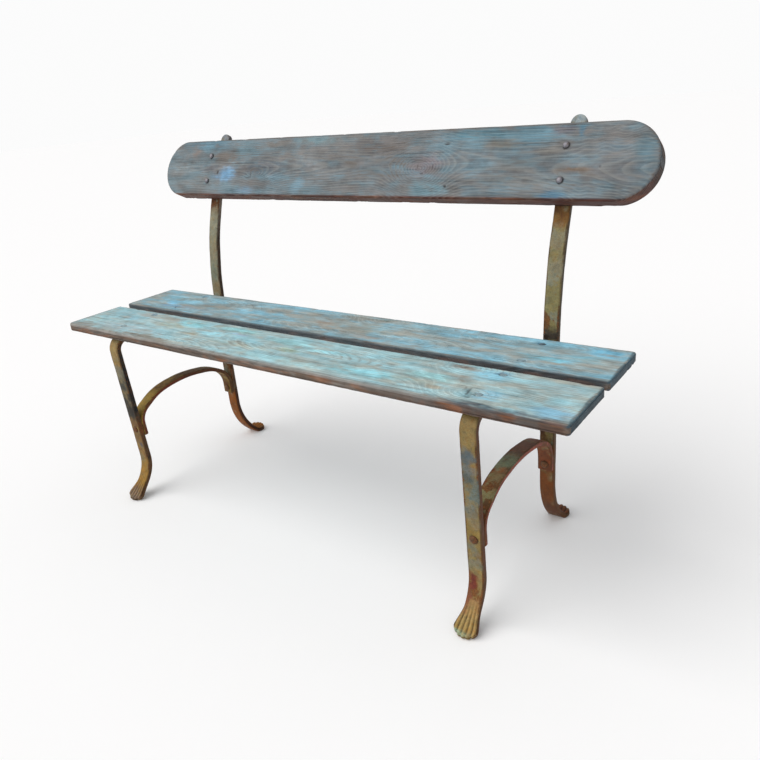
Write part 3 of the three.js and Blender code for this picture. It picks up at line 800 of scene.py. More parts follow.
BACK_BOARD = {
    "pitch": 4.1, "relief": 0.13, "edge_reach": 8.0, "swing": 0.85, "drift": 0.34, "wear": 0.24, "curly": 1,
    "base": "7a8082", "tone": (0.775, 0.805, 0.85), "cool": "71909b", "warm": "807974",
    "strip": (-6, 4), "strip_colour": "5c4236", "strip_end": "5c4236",
    "rim": back_rim, "rim_colour": "54281a", "rim_fade": 0.25,
    "end_colour": "33231c", "end_low": "3c2418", "rusty": 0.35, "worn_end": 0.35, "sinks": (),
    "grime_and_shadow_rings": [(side * FRAME_PLACE, rise, 7.6) for side in (-1, 1) for rise in BACK_BOLT_RISES.values()],
    "centres": [
        (165, 62, 0.62, 0), (-300, 58, 0.55, 8), (-720, 72, 0.05, 0), (860, 58, 0.13, 0),
        (380, -120, 0.03, 60), (400, 240, 0.03, 60), (-120, 190, 0.05, 40),
    ],
    "holes": [
        (-442, 60, 3.5, 6, 0.9), (225, 112, 8, 2, 0.9), (237, 25, 4, 3.2, 1.0), (545, 62, 3, 3, 0.6),
    ],
    "cracks": [
        (-555, 71, 90, 1.6, 0.8), (-330, 45, 14, 2.5, 0.8), (-322, 52, 3, 12, 0.7),
        (165, 66, 2.5, 8, 0.8), (201, 66, 2.5, 9, 0.9), (177, 52, 6, 3, 0.8), (186, 56, 3, 6, 0.7),
        (-60, 14, 12, 2, 0.5),
    ],
    "bare": [
        (60, 100, 120, 40, 0.2), (-300, 70, 60, 26, 0.2), (495, 54, 30, 8, 0.3), (-420, 100, 50, 14, 0.2),
    ],
    "patches": [
        (-560, 50, 110, 50, "848f91", 0.7), (-600, 125, 60, 25, "7c8385", 0.6),
        (-490, 133, 90, 15, "678a99", 0.95), (-350, 117, 50, 22, "70888f", 0.9),
        (-420, 100, 46, 13, "827a72", 0.9), (-255, 127, 60, 8, "7f7871", 0.8),
        (-120, 132, 70, 10, "7a9296", 0.95), (-285, 70, 70, 24, "6f7479", 0.9),
        (-470, 70, 60, 14, "78777a", 0.6), (-240, 48, 26, 15, "7a929d", 0.7),
        (-160, 25, 17, 22, "7a97a4", 0.95), (-330, 14, 38, 13, "7b96a8", 0.95),
        (-200, 96, 70, 12, "807b77", 0.7), (-30, 108, 80, 26, "7e7c7a", 0.7),
        (60, 112, 80, 28, "797472", 0.9), (110, 60, 60, 40, "7a7f81", 0.6),
        (185, 68, 46, 26, "867b7e", 0.85), (195, 20, 54, 17, "76969f", 1.0),
        (60, 12, 100, 12, "747779", 0.6), (300, 131, 90, 14, "68919e", 1.0),
        (412, 122, 56, 24, "688a96", 1.0), (345, 107, 38, 12, "7e7a71", 0.95),
        (370, 80, 80, 16, "6b7d84", 0.8), (400, 35, 90, 18, "838a8a", 0.8),
        (465, 6, 30, 10, "57839b", 1.0), (503, 129, 9, 15, "5a859a", 1.0),
        (470, 132, 26, 12, "6d6b71", 0.9), (450, 92, 24, 8, "918d86", 0.8),
        (495, 54, 34, 6, "8b735e", 0.9), (560, 98, 34, 14, "738790", 0.8),
        (620, 75, 24, 50, "677d84", 0.9), (590, 50, 55, 30, "71777a", 0.7),
        (-535, 112, 20, 16, "8d7c72", 0.8), (-440, 48, 34, 10, "7b9ab0", 0.7),
        (-405, 55, 33, 19, "86b8dc", 1.0),
    ],
}


def seat_to_frame(start):
    """A way from plank axes to the frame's, for a plank that starts at a depth."""
    def place(points):
        u, v, w = (points[..., k] for k in range(3))
        return np.stack([u, start - MIDDLE + v, SEAT_HEIGHT - PLANK_THICKNESS + w], -1)
    return place


def back_to_frame(points):
    """From board axes to the frame's."""
    u, v, w = (points[..., k] for k in range(3))
    depth, height = board_place(v, BOARD_THICKNESS - w)
    return np.stack([u, depth - MIDDLE, height], -1)


def add_boards():
    seat_wood = wood_material("seat_wood", "62584e", "a8a093", 0.08)
    back_wood = wood_material("back_wood", "463b35", "776f68", 0.13)
    bolts = (-FRAME_PLACE, FRAME_PLACE)
    # Each long edge has a radius and how far that radius wanders.
    rear_edges = dict.fromkeys(Board.EDGES, (3.0, 0.8))
    front_edges = {**rear_edges, "top_front": (3.8, 1.6)}
    back_edges = {**dict.fromkeys(Board.EDGES, (5, 1)), "top_front": (4.6, 1.2), "top_rear": (4.2, 1.0)}
    front = Board(SEAT_LENGTH, FRONT_PLANK_DEPTH, PLANK_THICKNESS, (14, 5, 6), front_edges, 3, bolts)
    rear = Board(SEAT_LENGTH, REAR_PLANK_DEPTH, PLANK_THICKNESS, (5, 8, 5), rear_edges, 4, bolts)
    back = Board(BOARD_LENGTH, BOARD_HEIGHT, BOARD_THICKNESS, (BOARD_HEIGHT / 2,) * 3, back_edges, 5)
    board_piece("seat_plank_front", front, FRONT_PLANK, seat_to_frame(0), seat_wood)
    board_piece("seat_plank_rear", rear, REAR_PLANK, seat_to_frame(REAR_PLANK_START), seat_wood)
    board_piece("backrest_board", back, BACK_BOARD, back_to_frame, back_wood)


# -------------------- iron bars
class CentreLine:
    """A bar's middle line with its bends rounded, sampled by distance from its start."""

    BEND_STEP = 1.5

    def __init__(self, bends):
        corners = np.array([[depth - MIDDLE, height] for depth, height, _ in bends], float)
        points = [corners[0]]
        for i in range(1, len(corners) - 1):
            radius = bends[i][2]
            before = corners[i - 1] - corners[i]
            after = corners[i + 1] - corners[i]
            before /= np.linalg.norm(before)
            after /= np.linalg.norm(after)
            half_angle = math.acos(np.clip(before @ after, -1, 1)) / 2
            inward = (before + after) / np.linalg.norm(before + after)
            centre = corners[i] + inward * radius / math.sin(half_angle)
            start = corners[i] + before * radius / math.tan(half_angle)
            turn = math.copysign(math.pi - 2 * half_angle, after[0] * before[1] - after[1] * before[0])
            steps = max(6, int(abs(turn) * radius / self.BEND_STEP))
            arm = start - centre
            for k in range(steps + 1):
                c, s = math.cos(turn * k / steps), math.sin(turn * k / steps)
                points.append(centre + [arm[0] * c - arm[1] * s, arm[0] * s + arm[1] * c])
        points.append(corners[-1])
        self.points = np.array(points)
        steps = np.linalg.norm(np.diff(self.points, axis=0), axis=1)
        self.distance = np.concatenate([[0], np.cumsum(steps)])
        self.length = self.distance[-1]

    def at(self, s):
        """Depth and height at a distance along the line."""
        return np.stack([np.interp(s, self.distance, self.points[:, k]) for k in (0, 1)], -1)

    def along(self, s):
        """The line's direction at a distance along it."""
        step = self.at(np.minimum(s + 2, self.length)) - self.at(np.maximum(s - 2, 0))
        return step / np.linalg.norm(step, axis=-1, keepdims=True)


class Section:
    """A flat bar's outline as a ring of grid points: its front, right side, back and left side.

    x0 and b0 lead to the middles of the rounded corners, in half sizes of the bar, and cx and cb
    from there to the outline, in corner radii. face is 1 on the front, which is a brace's top,
    and -1 on the back.
    """

    def __init__(self, flat):
        arc = np.radians([157.5, 135, 112.5])
        x0 = np.concatenate([[-1] * 3, np.linspace(-1, 1, flat), [1] * 3])
        cx = np.concatenate([np.cos(arc), np.zeros(flat), -np.cos(arc[::-1])])
        cb = np.concatenate([np.sin(arc), np.ones(flat), np.sin(arc[::-1])])
        wide = np.ones_like(x0)
        side, one, none = np.array([1.0, 0.0, -1.0]), np.ones(3), np.zeros(3)
        self.across, self.deep = len(x0), len(side)
        self.x0 = np.concatenate([x0, one, x0[::-1], -one])
        self.cx = np.concatenate([cx, one, cx[::-1], -one])
        self.cb = np.concatenate([cb, none, -cb[::-1], none])
        self.b0 = np.concatenate([wide, side, -wide, -side])
        self.face = np.concatenate([wide, none, -wide, none])
        self.is_edge = 1 - smooth(1 - np.abs(self.x0 + 0.35 * self.cx), 0.0, 0.25)


CORNER_RADIUS = 2.1
END_RADIUS = 2.4
TOE_FLUTE = 2.9
FLUTE_FADE = 26
FOOT_TIP = 7.0
SET_BACK_REACH = 34.0
THIN_FOOT = 0.0025
THIN_TOP = 0.0006
LEAN_FROM = 765
LEAN_TO = 838


def foot_share(s):
    """How far the foot has flared, from 0 on the leg to 1 at the toes."""
    return smooth(FOOT_LENGTH - s, 0, FOOT_LENGTH - TOE_ROUNDING)


def end_inset(s):
    """How far a bar's faces draw in at a square end."""
    near = np.minimum(s, END_RADIUS)
    return END_RADIUS - np.sqrt(np.maximum(END_RADIUS**2 - (END_RADIUS - near) ** 2, 0))


def bar_stations(length):
    """Distances of the rings along a bar, close together at its ends."""
    ends = np.array([0.0, 0.12, 0.35, 0.7, 1.2, 1.8, 2.5, 3.4, 4.5, 6.0])
    foot = np.array([7.2, 9.4, 11, 13])
    inner = np.arange(8.0, length - 8.0, 2.5)
    return np.unique(np.concatenate([ends, foot, inner, length - ends]))


def bar_sizes(s, length, thickness, side, seed, toe, round_top):
    """Half width and half thickness at each ring, uneven as forged and drawn in at the ends."""
    wobble = np.concatenate([s, 0 * s + side * 40, 0 * s], -1)
    half_width = BAR_HALF_WIDTH + 0.35 * layered(wobble, 45, seed)[:, None]
    half_thick = thickness / 2 - 0.15 + 0.2 * layered(wobble, 30, seed + 1)[:, None]
    if toe:
        half_width = half_width + (FOOT_HALF_WIDTH - BAR_HALF_WIDTH) * foot_share(s)
        tip = np.clip(1 - s / FOOT_TIP, 0, 1)
        half_thick = half_thick * np.sqrt(np.maximum(1 - tip**2, THIN_FOOT))
    else:
        half_width = half_width - end_inset(s)
        half_thick = half_thick - end_inset(s)
    end_away = length - s
    if round_top:
        over = np.clip(BAR_HALF_WIDTH - end_away, 0, None) / BAR_HALF_WIDTH
        half_width = half_width * np.sqrt(np.maximum(1 - over**2, THIN_TOP))
        half_thick = half_thick - 0.9 * end_inset(end_away)
    else:
        half_width = half_width - end_inset(end_away)
        half_thick = half_thick - end_inset(end_away)
    return half_width, half_thick


def toes(s, across, shown):
    """Depth of the grooves, height of the ridges, and where along the bar each point lies."""
    rounded = np.abs(np.cos(TOE_COUNT * math.pi * across)) ** 0.75
    reach = smooth(FOOT_LENGTH + FLUTE_FADE - s, 0, FOOT_LENGTH) * smooth(s, 0.2, 5.0) * shown
    share_in_toe = (TOE_COUNT * (across + 0.5)) % 1.0
    scallop = TOE_BULGE * (1 - 4 * share_in_toe * (1 - share_in_toe))
    set_back = TOE_ROUNDING * (2 * across) ** 2 + scallop
    away = s + set_back * np.clip(1 - s / SET_BACK_REACH, 0, 1) ** 2
    return (1 - rounded) * reach, rounded**2 * reach, away


def bar_piece(node, bends, thickness, side, seed, material, toe=0, round_top=False):
    """One forged bar. toe is 1 for a foot with its toes on the bar's front, -1 for toes on its back."""
    look = BAR_LOOKS[node]
    line = CentreLine(bends)
    section = Section(41 if toe else 21)
    s = bar_stations(line.length)[:, None]
    half_width, half_thick = bar_sizes(s, line.length, thickness, side, seed, toe, round_top)
    corner = np.minimum(CORNER_RADIUS, 0.9 * np.minimum(half_width, half_thick))
    x = section.x0 * (half_width - corner) + section.cx * corner
    b = section.b0 * (half_thick - corner) + section.cb * corner
    crown = 0.35 * (1 - section.x0**2) * np.abs(section.cb) * np.sign(b)
    groove, ridge, away = np.zeros_like(x), np.zeros_like(x), np.broadcast_to(s, x.shape)
    if toe:
        crown = crown * (1 - foot_share(s))
        groove, ridge, away = toes(s, x / (2 * half_width), section.face == toe)
    b = b + crown - toe * TOE_FLUTE * groove
    along = line.along(away)
    normal = np.stack([-along[..., 1], along[..., 0]], -1)
    depth, height = np.moveaxis(line.at(away) + normal * b[..., None], -1, 0)
    # The noise's own place, set apart for each side.
    local = np.stack([x + 90 * side, depth, height], -1)
    pits = smooth(layered(local, 9, seed + 4, 2), 0.42, 0.8)
    relief = 0.28 * layered(local, 20, seed + 2) + 0.10 * layered(local, 6, seed + 3) - 0.45 * pits
    if toe:
        relief = relief * smooth(height, 0.0, 6.0)
    points = np.stack([x, depth, np.maximum(height, 0.02)], -1)
    points = points + outward(points) * relief[..., None]
    points[..., 2] = np.maximum(points[..., 2], 0.0)
    # Grime in the pits. In the toe grooves the darkening is partly grime and partly painted shade. The ridge
    # heights go on to make the ridges lighter.
    fields = bar_fields(points, x, section, look, local, seed, 0.25 * pits + 0.8 * groove, ridge)
    lean = look.get("lean", 0) * smooth(points[..., 2], LEAN_FROM, LEAN_TO)
    points[..., 0] += side * FRAME_PLACE + lean
    stands_for(tube(f"{node}_worn", points, fields, section.across, section.deep), node, material)


def bar_fields(points, x, section, look, local, seed, dirt, ridge):
    """Colour and wear of a bar, with painted shade on its sides and in some patches. Patches lie by height,
    or by depth, and by place across.
    """
    where = points[..., 1] + MIDDLE if look.get("by_depth") else points[..., 2]
    face = np.broadcast_to(section.face, where.shape)
    edge = np.broadcast_to(section.is_edge, where.shape)
    coat = plain_coat(look["base"], where.shape)
    hue = 1.7 * layered(local, 15, seed + 10, 4)
    for code, share in zip(look["mottle"], (smooth(hue, 0.15, 0.7), smooth(-hue, 0.15, 0.7))):
        coat = laid_over(coat, 0.75 * share, colour(code))
    torn = 0.5 * layered(local, 9, seed + 9, 4)
    side = (face == 0) & (section.x0 != 0)
    # The narrow sides and rounded edges are mostly laid over with dark brown: partly dark worn paint, partly
    # painted shade of the sides.
    coat = laid_over(coat, 0.8 * (side | (edge > 0.7)) * smooth(torn, -0.45, -0.1), colour("46301f"))
    rust = look["rust"] + 0.35 * layered(local, 55, seed + 6)
    warp = 6 * layered(local, 16, seed + 7)
    on_faces = {"F": face > 0.5, "B": face < -0.5, "R": side & (section.x0 > 0), "L": side & (section.x0 < 0)}
    for faces, place, across, reach, reach_across, code, strength in look["patches"]:
        away = np.hypot((where + warp - place) / reach, (x + 0.6 * warp - across) / reach_across)
        chosen = np.any([on_faces[key] for key in faces], axis=0)
        share = strength * (1 - smooth(away + 1.2 * torn + 0.5 * hue, 0.3, 1.35)) * chosen
        if code == "rust":
            rust = rust + share * (1 - rust)
        # A dark patch darkens the bar: partly grime, partly painted shade.
        elif code == "dark":
            dirt = np.maximum(dirt, share)
        else:
            rust = rust * (1 - 0.6 * share)
            coat = laid_over(coat, share, colour(code))
    # The toe ridges are made lighter by their height: a painted highlight.
    coat = coat * (1 + 0.26 * layered(local, 20, seed + 8, 4) + 0.35 * ridge)[..., None] * look["tone"]
    return {"coat": np.clip(coat, 0.003, 1), "rust": rust, "edge": edge, "dirt": dirt}


# The patches were placed one by one. Each has its faces (front, back, right, left), its height, which
# is its depth on a brace, its place across, its reach both ways, a colour or kind, and a strength.
# On the right sides (R), which face away from the lamp, the long dark patches are partly painted shade.
BAR_LOOKS = {
    "front_leg_right": {
        "base": "8a7540", "tone": 0.90, "rust": 0.20, "mottle": ("84724c", "7d5a30"),
        "patches": [
            ("R", 220, 0, 320, 60, "5e3a26", 0.85), ("B", 220, 0, 320, 30, "5a3a20", 0.9),
            ("F", 400, 0, 40, 30, "8a774b", 0.8), ("F", 346, -2, 20, 16, "566063", 1.0),
            ("F", 322, 8, 10, 8, "8a6a40", 0.8), ("F", 302, -4, 20, 18, "575d58", 1.0),
            ("F", 272, 4, 26, 18, "667069", 1.0), ("F", 318, 2, 9, 16, "6a6f6b", 0.8),
            ("F", 240, -3, 20, 18, "70746a", 0.9), ("F", 214, 2, 16, 16, "857a5f", 0.8),
            ("F", 160, -4, 16, 14, "6f7568", 0.8), ("F", 120, 0, 14, 18, "757868", 0.7),
            # The small dark spot just right of the rivet, at 176, is a painted shadow of the rivet head.
            ("F", 178, 0, 7, 12, "rust", 0.9), ("F", 176, 6, 4, 5, "dark", 0.8),
            ("F", 88, -6, 16, 14, "rust", 0.8), ("F", 66, 0, 14, 20, "rust", 0.95),
            ("F", 40, 0, 20, 26, "8f6d4b", 0.6), ("F", 22, 0, 22, 30, "9a8250", 0.6),
            ("F", 4, -9, 9, 18, "8fa58c", 0.95), ("F", 84, -4, 24, 12, "6e3226", 1.0),
            ("F", 56, -12, 22, 7, "74402c", 0.8),
        ],
    },
    "front_leg_left": {
        "base": "8c7340", "tone": 0.90, "rust": 0.20, "mottle": ("7d7357", "734d28"),
        "patches": [
            ("B", 220, 0, 320, 30, "55402a", 0.9), ("R", 120, 0, 150, 60, "5c4028", 0.8),
            ("R", 290, 0, 150, 90, "191a1c", 1.0), ("L", 270, 0, 80, 60, "33332f", 0.8),
            ("F", 400, 0, 40, 30, "937e50", 0.9), ("F", 330, 0, 22, 30, "706f60", 0.9),
            ("F", 296, 0, 30, 30, "47473e", 1.0), ("F", 258, 0, 32, 40, "33312b", 1.0),
            ("F", 226, 0, 26, 40, "33312b", 1.0), ("F", 268, 6, 20, 9, "dark", 0.8),
            ("F", 232, 2, 14, 12, "dark", 0.6), ("F", 196, 0, 14, 20, "6a4c2c", 0.8),
            ("F", 150, 0, 30, 20, "6f5230", 0.7), ("F", 132, 4, 10, 7, "4a4a58", 0.8),
            ("F", 52, 0, 34, 30, "93702f", 0.9), ("F", 8, 0, 18, 30, "7d6857", 0.9),
            ("R", 182, 0, 26, 60, "rust", 0.8),
        ],
    },
    "upright_right": {
        "base": "83794f", "tone": 0.95, "rust": 0.14, "mottle": ("7d7f70", "7f6238"),
        "patches": [
            ("F", 70, 0, 190, 40, "6b3c16", 1.0), ("R", 70, 0, 190, 60, "5e3815", 0.95),
            ("B", 100, 0, 210, 40, "4e3420", 0.95), ("B", 20, 0, 40, 40, "6b3a20", 0.9),
            ("RF", 330, 0, 90, 60, "3d2a19", 0.9), ("F", 668, 0, 26, 30, "7a5526", 0.95),
            # Just under the board's lower edge, the near-black patch at 708 and the dark one at 706 are
            # partly painted shade of the board. The patch at 690 is rust.
            ("F", 690, 0, 20, 60, "5c3a1c", 1.0), ("FR", 708, 0, 26, 60, "24170f", 1.0),
            ("FR", 706, 0, 14, 60, "dark", 0.9), ("F", 625, 0, 20, 30, "7d7862", 0.8),
            ("F", 570, 0, 24, 30, "868069", 0.9), ("F", 520, 0, 30, 30, "807952", 0.8),
            ("F", 476, -8, 14, 9, "rust", 1.0), ("F", 452, -10, 10, 6, "rust", 0.9),
            # The dark band at 444, just above the seat, is partly painted shade and partly dirt.
            ("F", 440, -8, 9, 8, "dark", 0.9), ("F", 444, 0, 16, 40, "3d362e", 1.0),
            ("R", 560, 0, 160, 60, "3f3626", 0.9), ("B", 560, 0, 180, 30, "76705a", 0.6),
            ("FB", 850, 0, 60, 30, "929fa4", 1.0), ("R", 850, 0, 60, 60, "6c6a66", 0.9),
            ("FB", 40, 0, 40, 40, "4a3020", 0.6),
        ],
    },
    "upright_left": {
        "base": "858067", "lean": -6.5, "tone": 0.95, "rust": 0.12, "mottle": ("7f8577", "80693f"),
        "patches": [
            ("F", 70, 0, 190, 60, "80480e", 1.0), ("R", 70, 0, 190, 90, "401e08", 1.0),
            ("B", 100, 0, 210, 40, "4c3018", 0.95), ("B", 20, 0, 40, 40, "8a541c", 0.9),
            ("RF", 330, 0, 90, 60, "4f2b0c", 0.9), ("F", 655, 0, 26, 30, "7c6a50", 0.7),
            # The dark patches at 692 and 706, just under the board's lower edge, are partly painted shade of
            # the board.
            ("FR", 692, 0, 26, 60, "4a2a18", 1.0), ("F", 706, 0, 16, 60, "dark", 0.5),
            ("F", 672, 0, 12, 60, "rust", 0.6), ("F", 620, 0, 34, 30, "8c8c78", 0.9),
            ("F", 545, 0, 30, 30, "817c66", 0.8), ("F", 500, 0, 24, 30, "767a69", 0.9),
            ("F", 455, 0, 26, 30, "877a5e", 0.9), ("R", 640, 0, 70, 60, "756a60", 0.8),
            ("R", 500, 0, 130, 60, "332417", 1.0), ("B", 560, 0, 180, 30, "6f6a56", 0.6),
            ("FB", 850, 0, 60, 30, "858c96", 1.0), ("R", 850, 0, 60, 60, "5c5a5e", 0.9),
        ],
    },
    "brace_right": {
        "base": "6c3a20", "tone": 1.4, "rust": 0.3, "mottle": ("6c6c4c", "5c2c18"), "by_depth": True,
        "patches": [
            ("F", 62, 0, 22, 30, "75724f", 0.9), ("F", 98, 2, 18, 14, "76684a", 0.9),
            ("F", 40, 4, 14, 12, "rust", 0.8), ("F", 118, 0, 12, 12, "8b5a38", 0.8),
            ("F", 148, 0, 36, 24, "6a7059", 1.0), ("F", 78, 0, 12, 12, "rust", 0.9),
            ("F", 220, 0, 60, 30, "54392c", 0.8), ("F", 300, 0, 40, 30, "663a20", 0.8),
            ("R", 170, 0, 200, 60, "7a4034", 0.95), ("B", 170, 0, 200, 30, "50301c", 0.8),
        ],
    },
    "brace_left": {
        "base": "7f6427", "tone": 1.1, "rust": 0.2, "mottle": ("7d6f3c", "5f3d1e"), "by_depth": True,
        "patches": [
            ("F", 50, 0, 46, 30, "947a36", 0.95), ("F", 120, 0, 44, 30, "806434", 0.9),
            ("F", 220, 0, 110, 30, "543a20", 0.9), ("R", 100, 0, 130, 60, "622a18", 1.0),
            ("R", 260, 0, 90, 60, "4c2a14", 0.9), ("B", 170, 0, 200, 30, "4c2e18", 0.8),
        ],
    },
}


def add_bars():
    iron = iron_material("frame_iron")
    brace_iron = iron_material("brace_iron")
    for number, (name, side) in enumerate(SIDES.items()):
        seed = 200 + 40 * number
        bar_piece(f"front_leg_{name}", FRONT_LEG, BAR_THICKNESS, side, seed, iron, toe=1)
        bar_piece(f"upright_{name}", UPRIGHT, BAR_THICKNESS, side, seed + 12, iron,
                  toe=-1, round_top=True)
        bar_piece(f"brace_{name}", BRACE, BRACE_THICKNESS, side, seed + 24, brace_iron)


# -------------------- fasteners
def axes(direction):
    """Axes across and along a direction that has no part along X."""
    third = np.array(direction, float) / np.linalg.norm(direction)
    first = np.array([1.0, 0.0, 0.0])
    return np.stack([first, np.cross(third, first), third])


def turned(node, material, profile, place, direction, seed, look, closed=False, square=0.0, thread=None):
    """A piece turned about an axis. closed joins the profile's ends, square flattens the outside."""
    angle = np.arange(48) * 2 * math.pi / 48
    profile = np.array(profile, float)
    radius = profile[:, :1] + 0 * angle
    height = profile[:, 1:2] + 0 * angle
    if square:
        flat = square / np.maximum(np.abs(np.cos(angle)), np.abs(np.sin(angle)))
        flat = np.minimum(flat, square * 1.36)
        outer = profile[:, :1] > SHANK_RADIUS + 1.5
        radius = np.where(outer, radius / square * flat, radius)
    if thread:
        low, high = thread
        on = smooth(height, low, low + 0.8) * (1 - smooth(height, high - 0.8, high))
        turn = (height / THREAD_PITCH - angle / (2 * math.pi)) % 1.0
        radius = radius + on * (0.5 - 2 * np.abs(turn - 0.5)) * 0.45
    local = np.stack([radius * np.cos(angle), radius * np.sin(angle), height], -1)
    spot = local + np.array(place)
    amount = 0.14 * layered(spot, 6, seed) + 0.06 * layered(spot, 2.2, seed + 1)
    local[..., 2] += amount * np.clip(radius / SHANK_RADIUS, 0, 1)
    local[..., :2] *= (1 + 0.02 * layered(spot, 7, seed + 2))[..., None]
    points = local @ axes(direction) + np.array(place)
    coat = plain_coat(look["base"], radius.shape) * (1 + 0.2 * layered(spot, 5, seed + 3))[..., None]
    # Each piece is made darker towards its outer rim.
    rim = smooth(radius / profile[:, 0].max(), 0.80, 1.0)
    fields = {"coat": np.clip(coat, 0.003, 1), "rust": look["rust"] + 0.3 * layered(spot, 8, seed + 4),
              "edge": 0 * radius, "dirt": look["dirt"] + 0.55 * rim}
    make = closed_tube if closed else pointed_tube
    stands_for(make(f"{node}_worn", points, fields), node, material)


def dome(radius, height, base):
    """Rim to crown of a dome head."""
    angles = np.linspace(0, math.pi / 2, 9)[:-1]
    sides = [(radius * math.cos(a) ** 0.85, base + height * math.sin(a)) for a in angles]
    return [*sides, (0, base + height)]


def shank(low, high, steps):
    return [(SHANK_RADIUS, z) for z in np.linspace(low, high, steps)]


def bolt_profile(radius, height, length):
    """From the tip of the shank, round under the head, to its crown."""
    tip = [(0, -length), (SHANK_RADIUS - 0.8, -length), (SHANK_RADIUS - 0.2, -length + 0.5)]
    under = [(SHANK_RADIUS + 0.01, 0), (radius - 0.6, 0.0)]
    rim = 0.5 if height > 1 else 0
    return [*tip, *shank(-length + 1.0, -0.2, 60), *under, *dome(radius, height, rim)]


def rivet_profile(grip):
    """Two dome heads on a shank."""
    half = grip / 2 + GAP
    head = dome(*RIVET_HEAD, half)
    mirrored = [(r, -z) for r, z in head][::-1]
    return [*mirrored, (7.0, -half), *shank(-half, half, 5), (7.0, half), *head]


def ring_profile(outer, thickness, bevel):
    """A washer's or nut's outline, from its bore round its bevelled outside."""
    half = [(BORE_RADIUS + 0.4, 0), (outer - bevel, 0), (outer - bevel * 0.3, bevel * 0.35), (outer, bevel)]
    top = [(r, thickness - z) for r, z in half]
    return [(BORE_RADIUS, 0.3), (BORE_RADIUS, thickness - 0.3), *top, *half[::-1]]


BACK_HEAD_LOOK = {"base": "78767d", "rust": 0.14, "dirt": 0.0}
WASHED_HEAD_LOOK = {"base": "8fa7b0", "rust": 0.06, "dirt": 0.02}
BARE_HEAD_LOOK = {"base": "566a76", "rust": 0.15, "dirt": 0.1}
RIVET_LOOK = {"base": "5f4228", "rust": 0.5, "dirt": 0.0}
NUT_LOOK = {"base": "5d554c", "rust": 0.42, "dirt": 0.0}
BARE_HEADS = ("4_right",)
NUT_PROFILE = ring_profile(NUT_HALF, NUT_HEIGHT, 0.9)
WASHER_PROFILE = ring_profile(WASHER_RADIUS, WASHER_HEIGHT, 0.4)

# Each rivet: its height, the stretch of which bar, the other piece's thickness and its side.
RIVETS = {"brace_front": (178.0, 2, FRONT_LEG, BRACE_THICKNESS, 1),
          "brace_rear": (169.0, 2, UPRIGHT, BRACE_THICKNESS, -1),
          "bearer": (386.0, 3, UPRIGHT, BAR_THICKNESS, -1)}


def bar_station(bends, stretch, height):
    """The place at a height on one straight stretch of a bar, and the way through it."""
    (d0, h0, _), (d1, h1, _) = bends[stretch], bends[stretch + 1]
    lean = (d1 - d0) / (h1 - h0)
    through = np.array([0, 1, -lean]) / math.hypot(1, lean)
    return np.array([0, d0 + (height - h0) * lean - MIDDLE, height]), through


def add_rivets(name, side, material, seed):
    for k, (key, (height, stretch, bends, other, behind)) in enumerate(RIVETS.items()):
        at, through = bar_station(bends, stretch, height)
        grip = BAR_THICKNESS + GAP + other
        at = at + through * behind * (grip - BAR_THICKNESS) / 2
        at[0] = side * FRAME_PLACE
        turned(f"rivet_{key}_{name}", material, rivet_profile(grip), at, through, seed + 5 * k, RIVET_LOOK)


def add_back_bolts(name, side, material, seed):
    out = np.array([0, -math.cos(RECLINE), math.sin(RECLINE)])
    grip = BOARD_THICKNESS + GAP + BAR_THICKNESS
    nut_place = grip + GAP + WASHER_HEIGHT + GAP
    length = GAP + nut_place + NUT_HEIGHT + BEYOND_NUT
    for k, (level, rise) in enumerate(BACK_BOLT_RISES.items()):
        def on_board(inward):
            depth, height = board_place(rise, inward)
            return np.array([side * FRAME_PLACE, depth - MIDDLE, height])
        tag = f"{level}_{name}"
        first = seed + 9 * k
        turned(f"back_bolt_{tag}", material, bolt_profile(*BACK_HEAD, length), on_board(-GAP), out, first,
               BACK_HEAD_LOOK, thread=(-length + 0.6, -length + 16))
        turned(f"back_washer_{tag}", material, WASHER_PROFILE, on_board(grip + GAP), -out, first + 2,
               NUT_LOOK, closed=True)
        turned(f"back_nut_{tag}", material, NUT_PROFILE, on_board(nut_place), -out, first + 4,
               NUT_LOOK, closed=True, square=NUT_HALF)


def add_seat_bolts(name, side, material, seed):
    up = np.array([0, 0, 1.0])
    head_base = SEAT_HEIGHT - SINK_DEPTH + GAP
    nut_top = BEARER_HEIGHT - BAR_THICKNESS / 2 - GAP
    length = head_base - nut_top + NUT_HEIGHT + BEYOND_NUT
    for k, depth in enumerate(SEAT_BOLTS):
        tag = f"{k + 1}_{name}"
        first = seed + 9 * k
        look = BARE_HEAD_LOOK if tag in BARE_HEADS else WASHED_HEAD_LOOK
        at = np.array([side * FRAME_PLACE, depth - MIDDLE, head_base])
        turned(f"seat_bolt_{tag}", material, bolt_profile(*SEAT_HEAD, length), at, up, first,
               look, thread=(-length + 0.6, -length + 12))
        low = np.array([side * FRAME_PLACE, depth - MIDDLE, nut_top - NUT_HEIGHT])
        turned(f"seat_nut_{tag}", material, NUT_PROFILE, low, up, first + 4,
               NUT_LOOK, closed=True, square=NUT_HALF)


def add_fasteners():
    material = iron_material("fastener_iron", 0.45, 0.44, 0.45)
    for number, (name, side) in enumerate(SIDES.items()):
        add_rivets(name, side, material, 400 + 60 * number)
        add_back_bolts(name, side, material, 440 + 60 * number)
        add_seat_bolts(name, side, material, 480 + 60 * number)


# -------------------- camera, light and floor
CAMERA_SPOT = (0.96288, -1.07433, 0.90034)
CAMERA_TURNS = (37.092, 22.213, -5.011)
LAMP_SPOT = (-2.2, -2.6, 3.4)
FLOOR_HALF = 30


def placed(thing, ways, spot):
    """Puts an object in the scene at a spot, with its axes along three ways."""
    rows = np.stack(ways, 1).tolist()
    thing.matrix_world = Matrix([(*row, p) for row, p in zip(rows, spot)] + [(0, 0, 0, 1)])
    bpy.context.scene.collection.objects.link(thing)


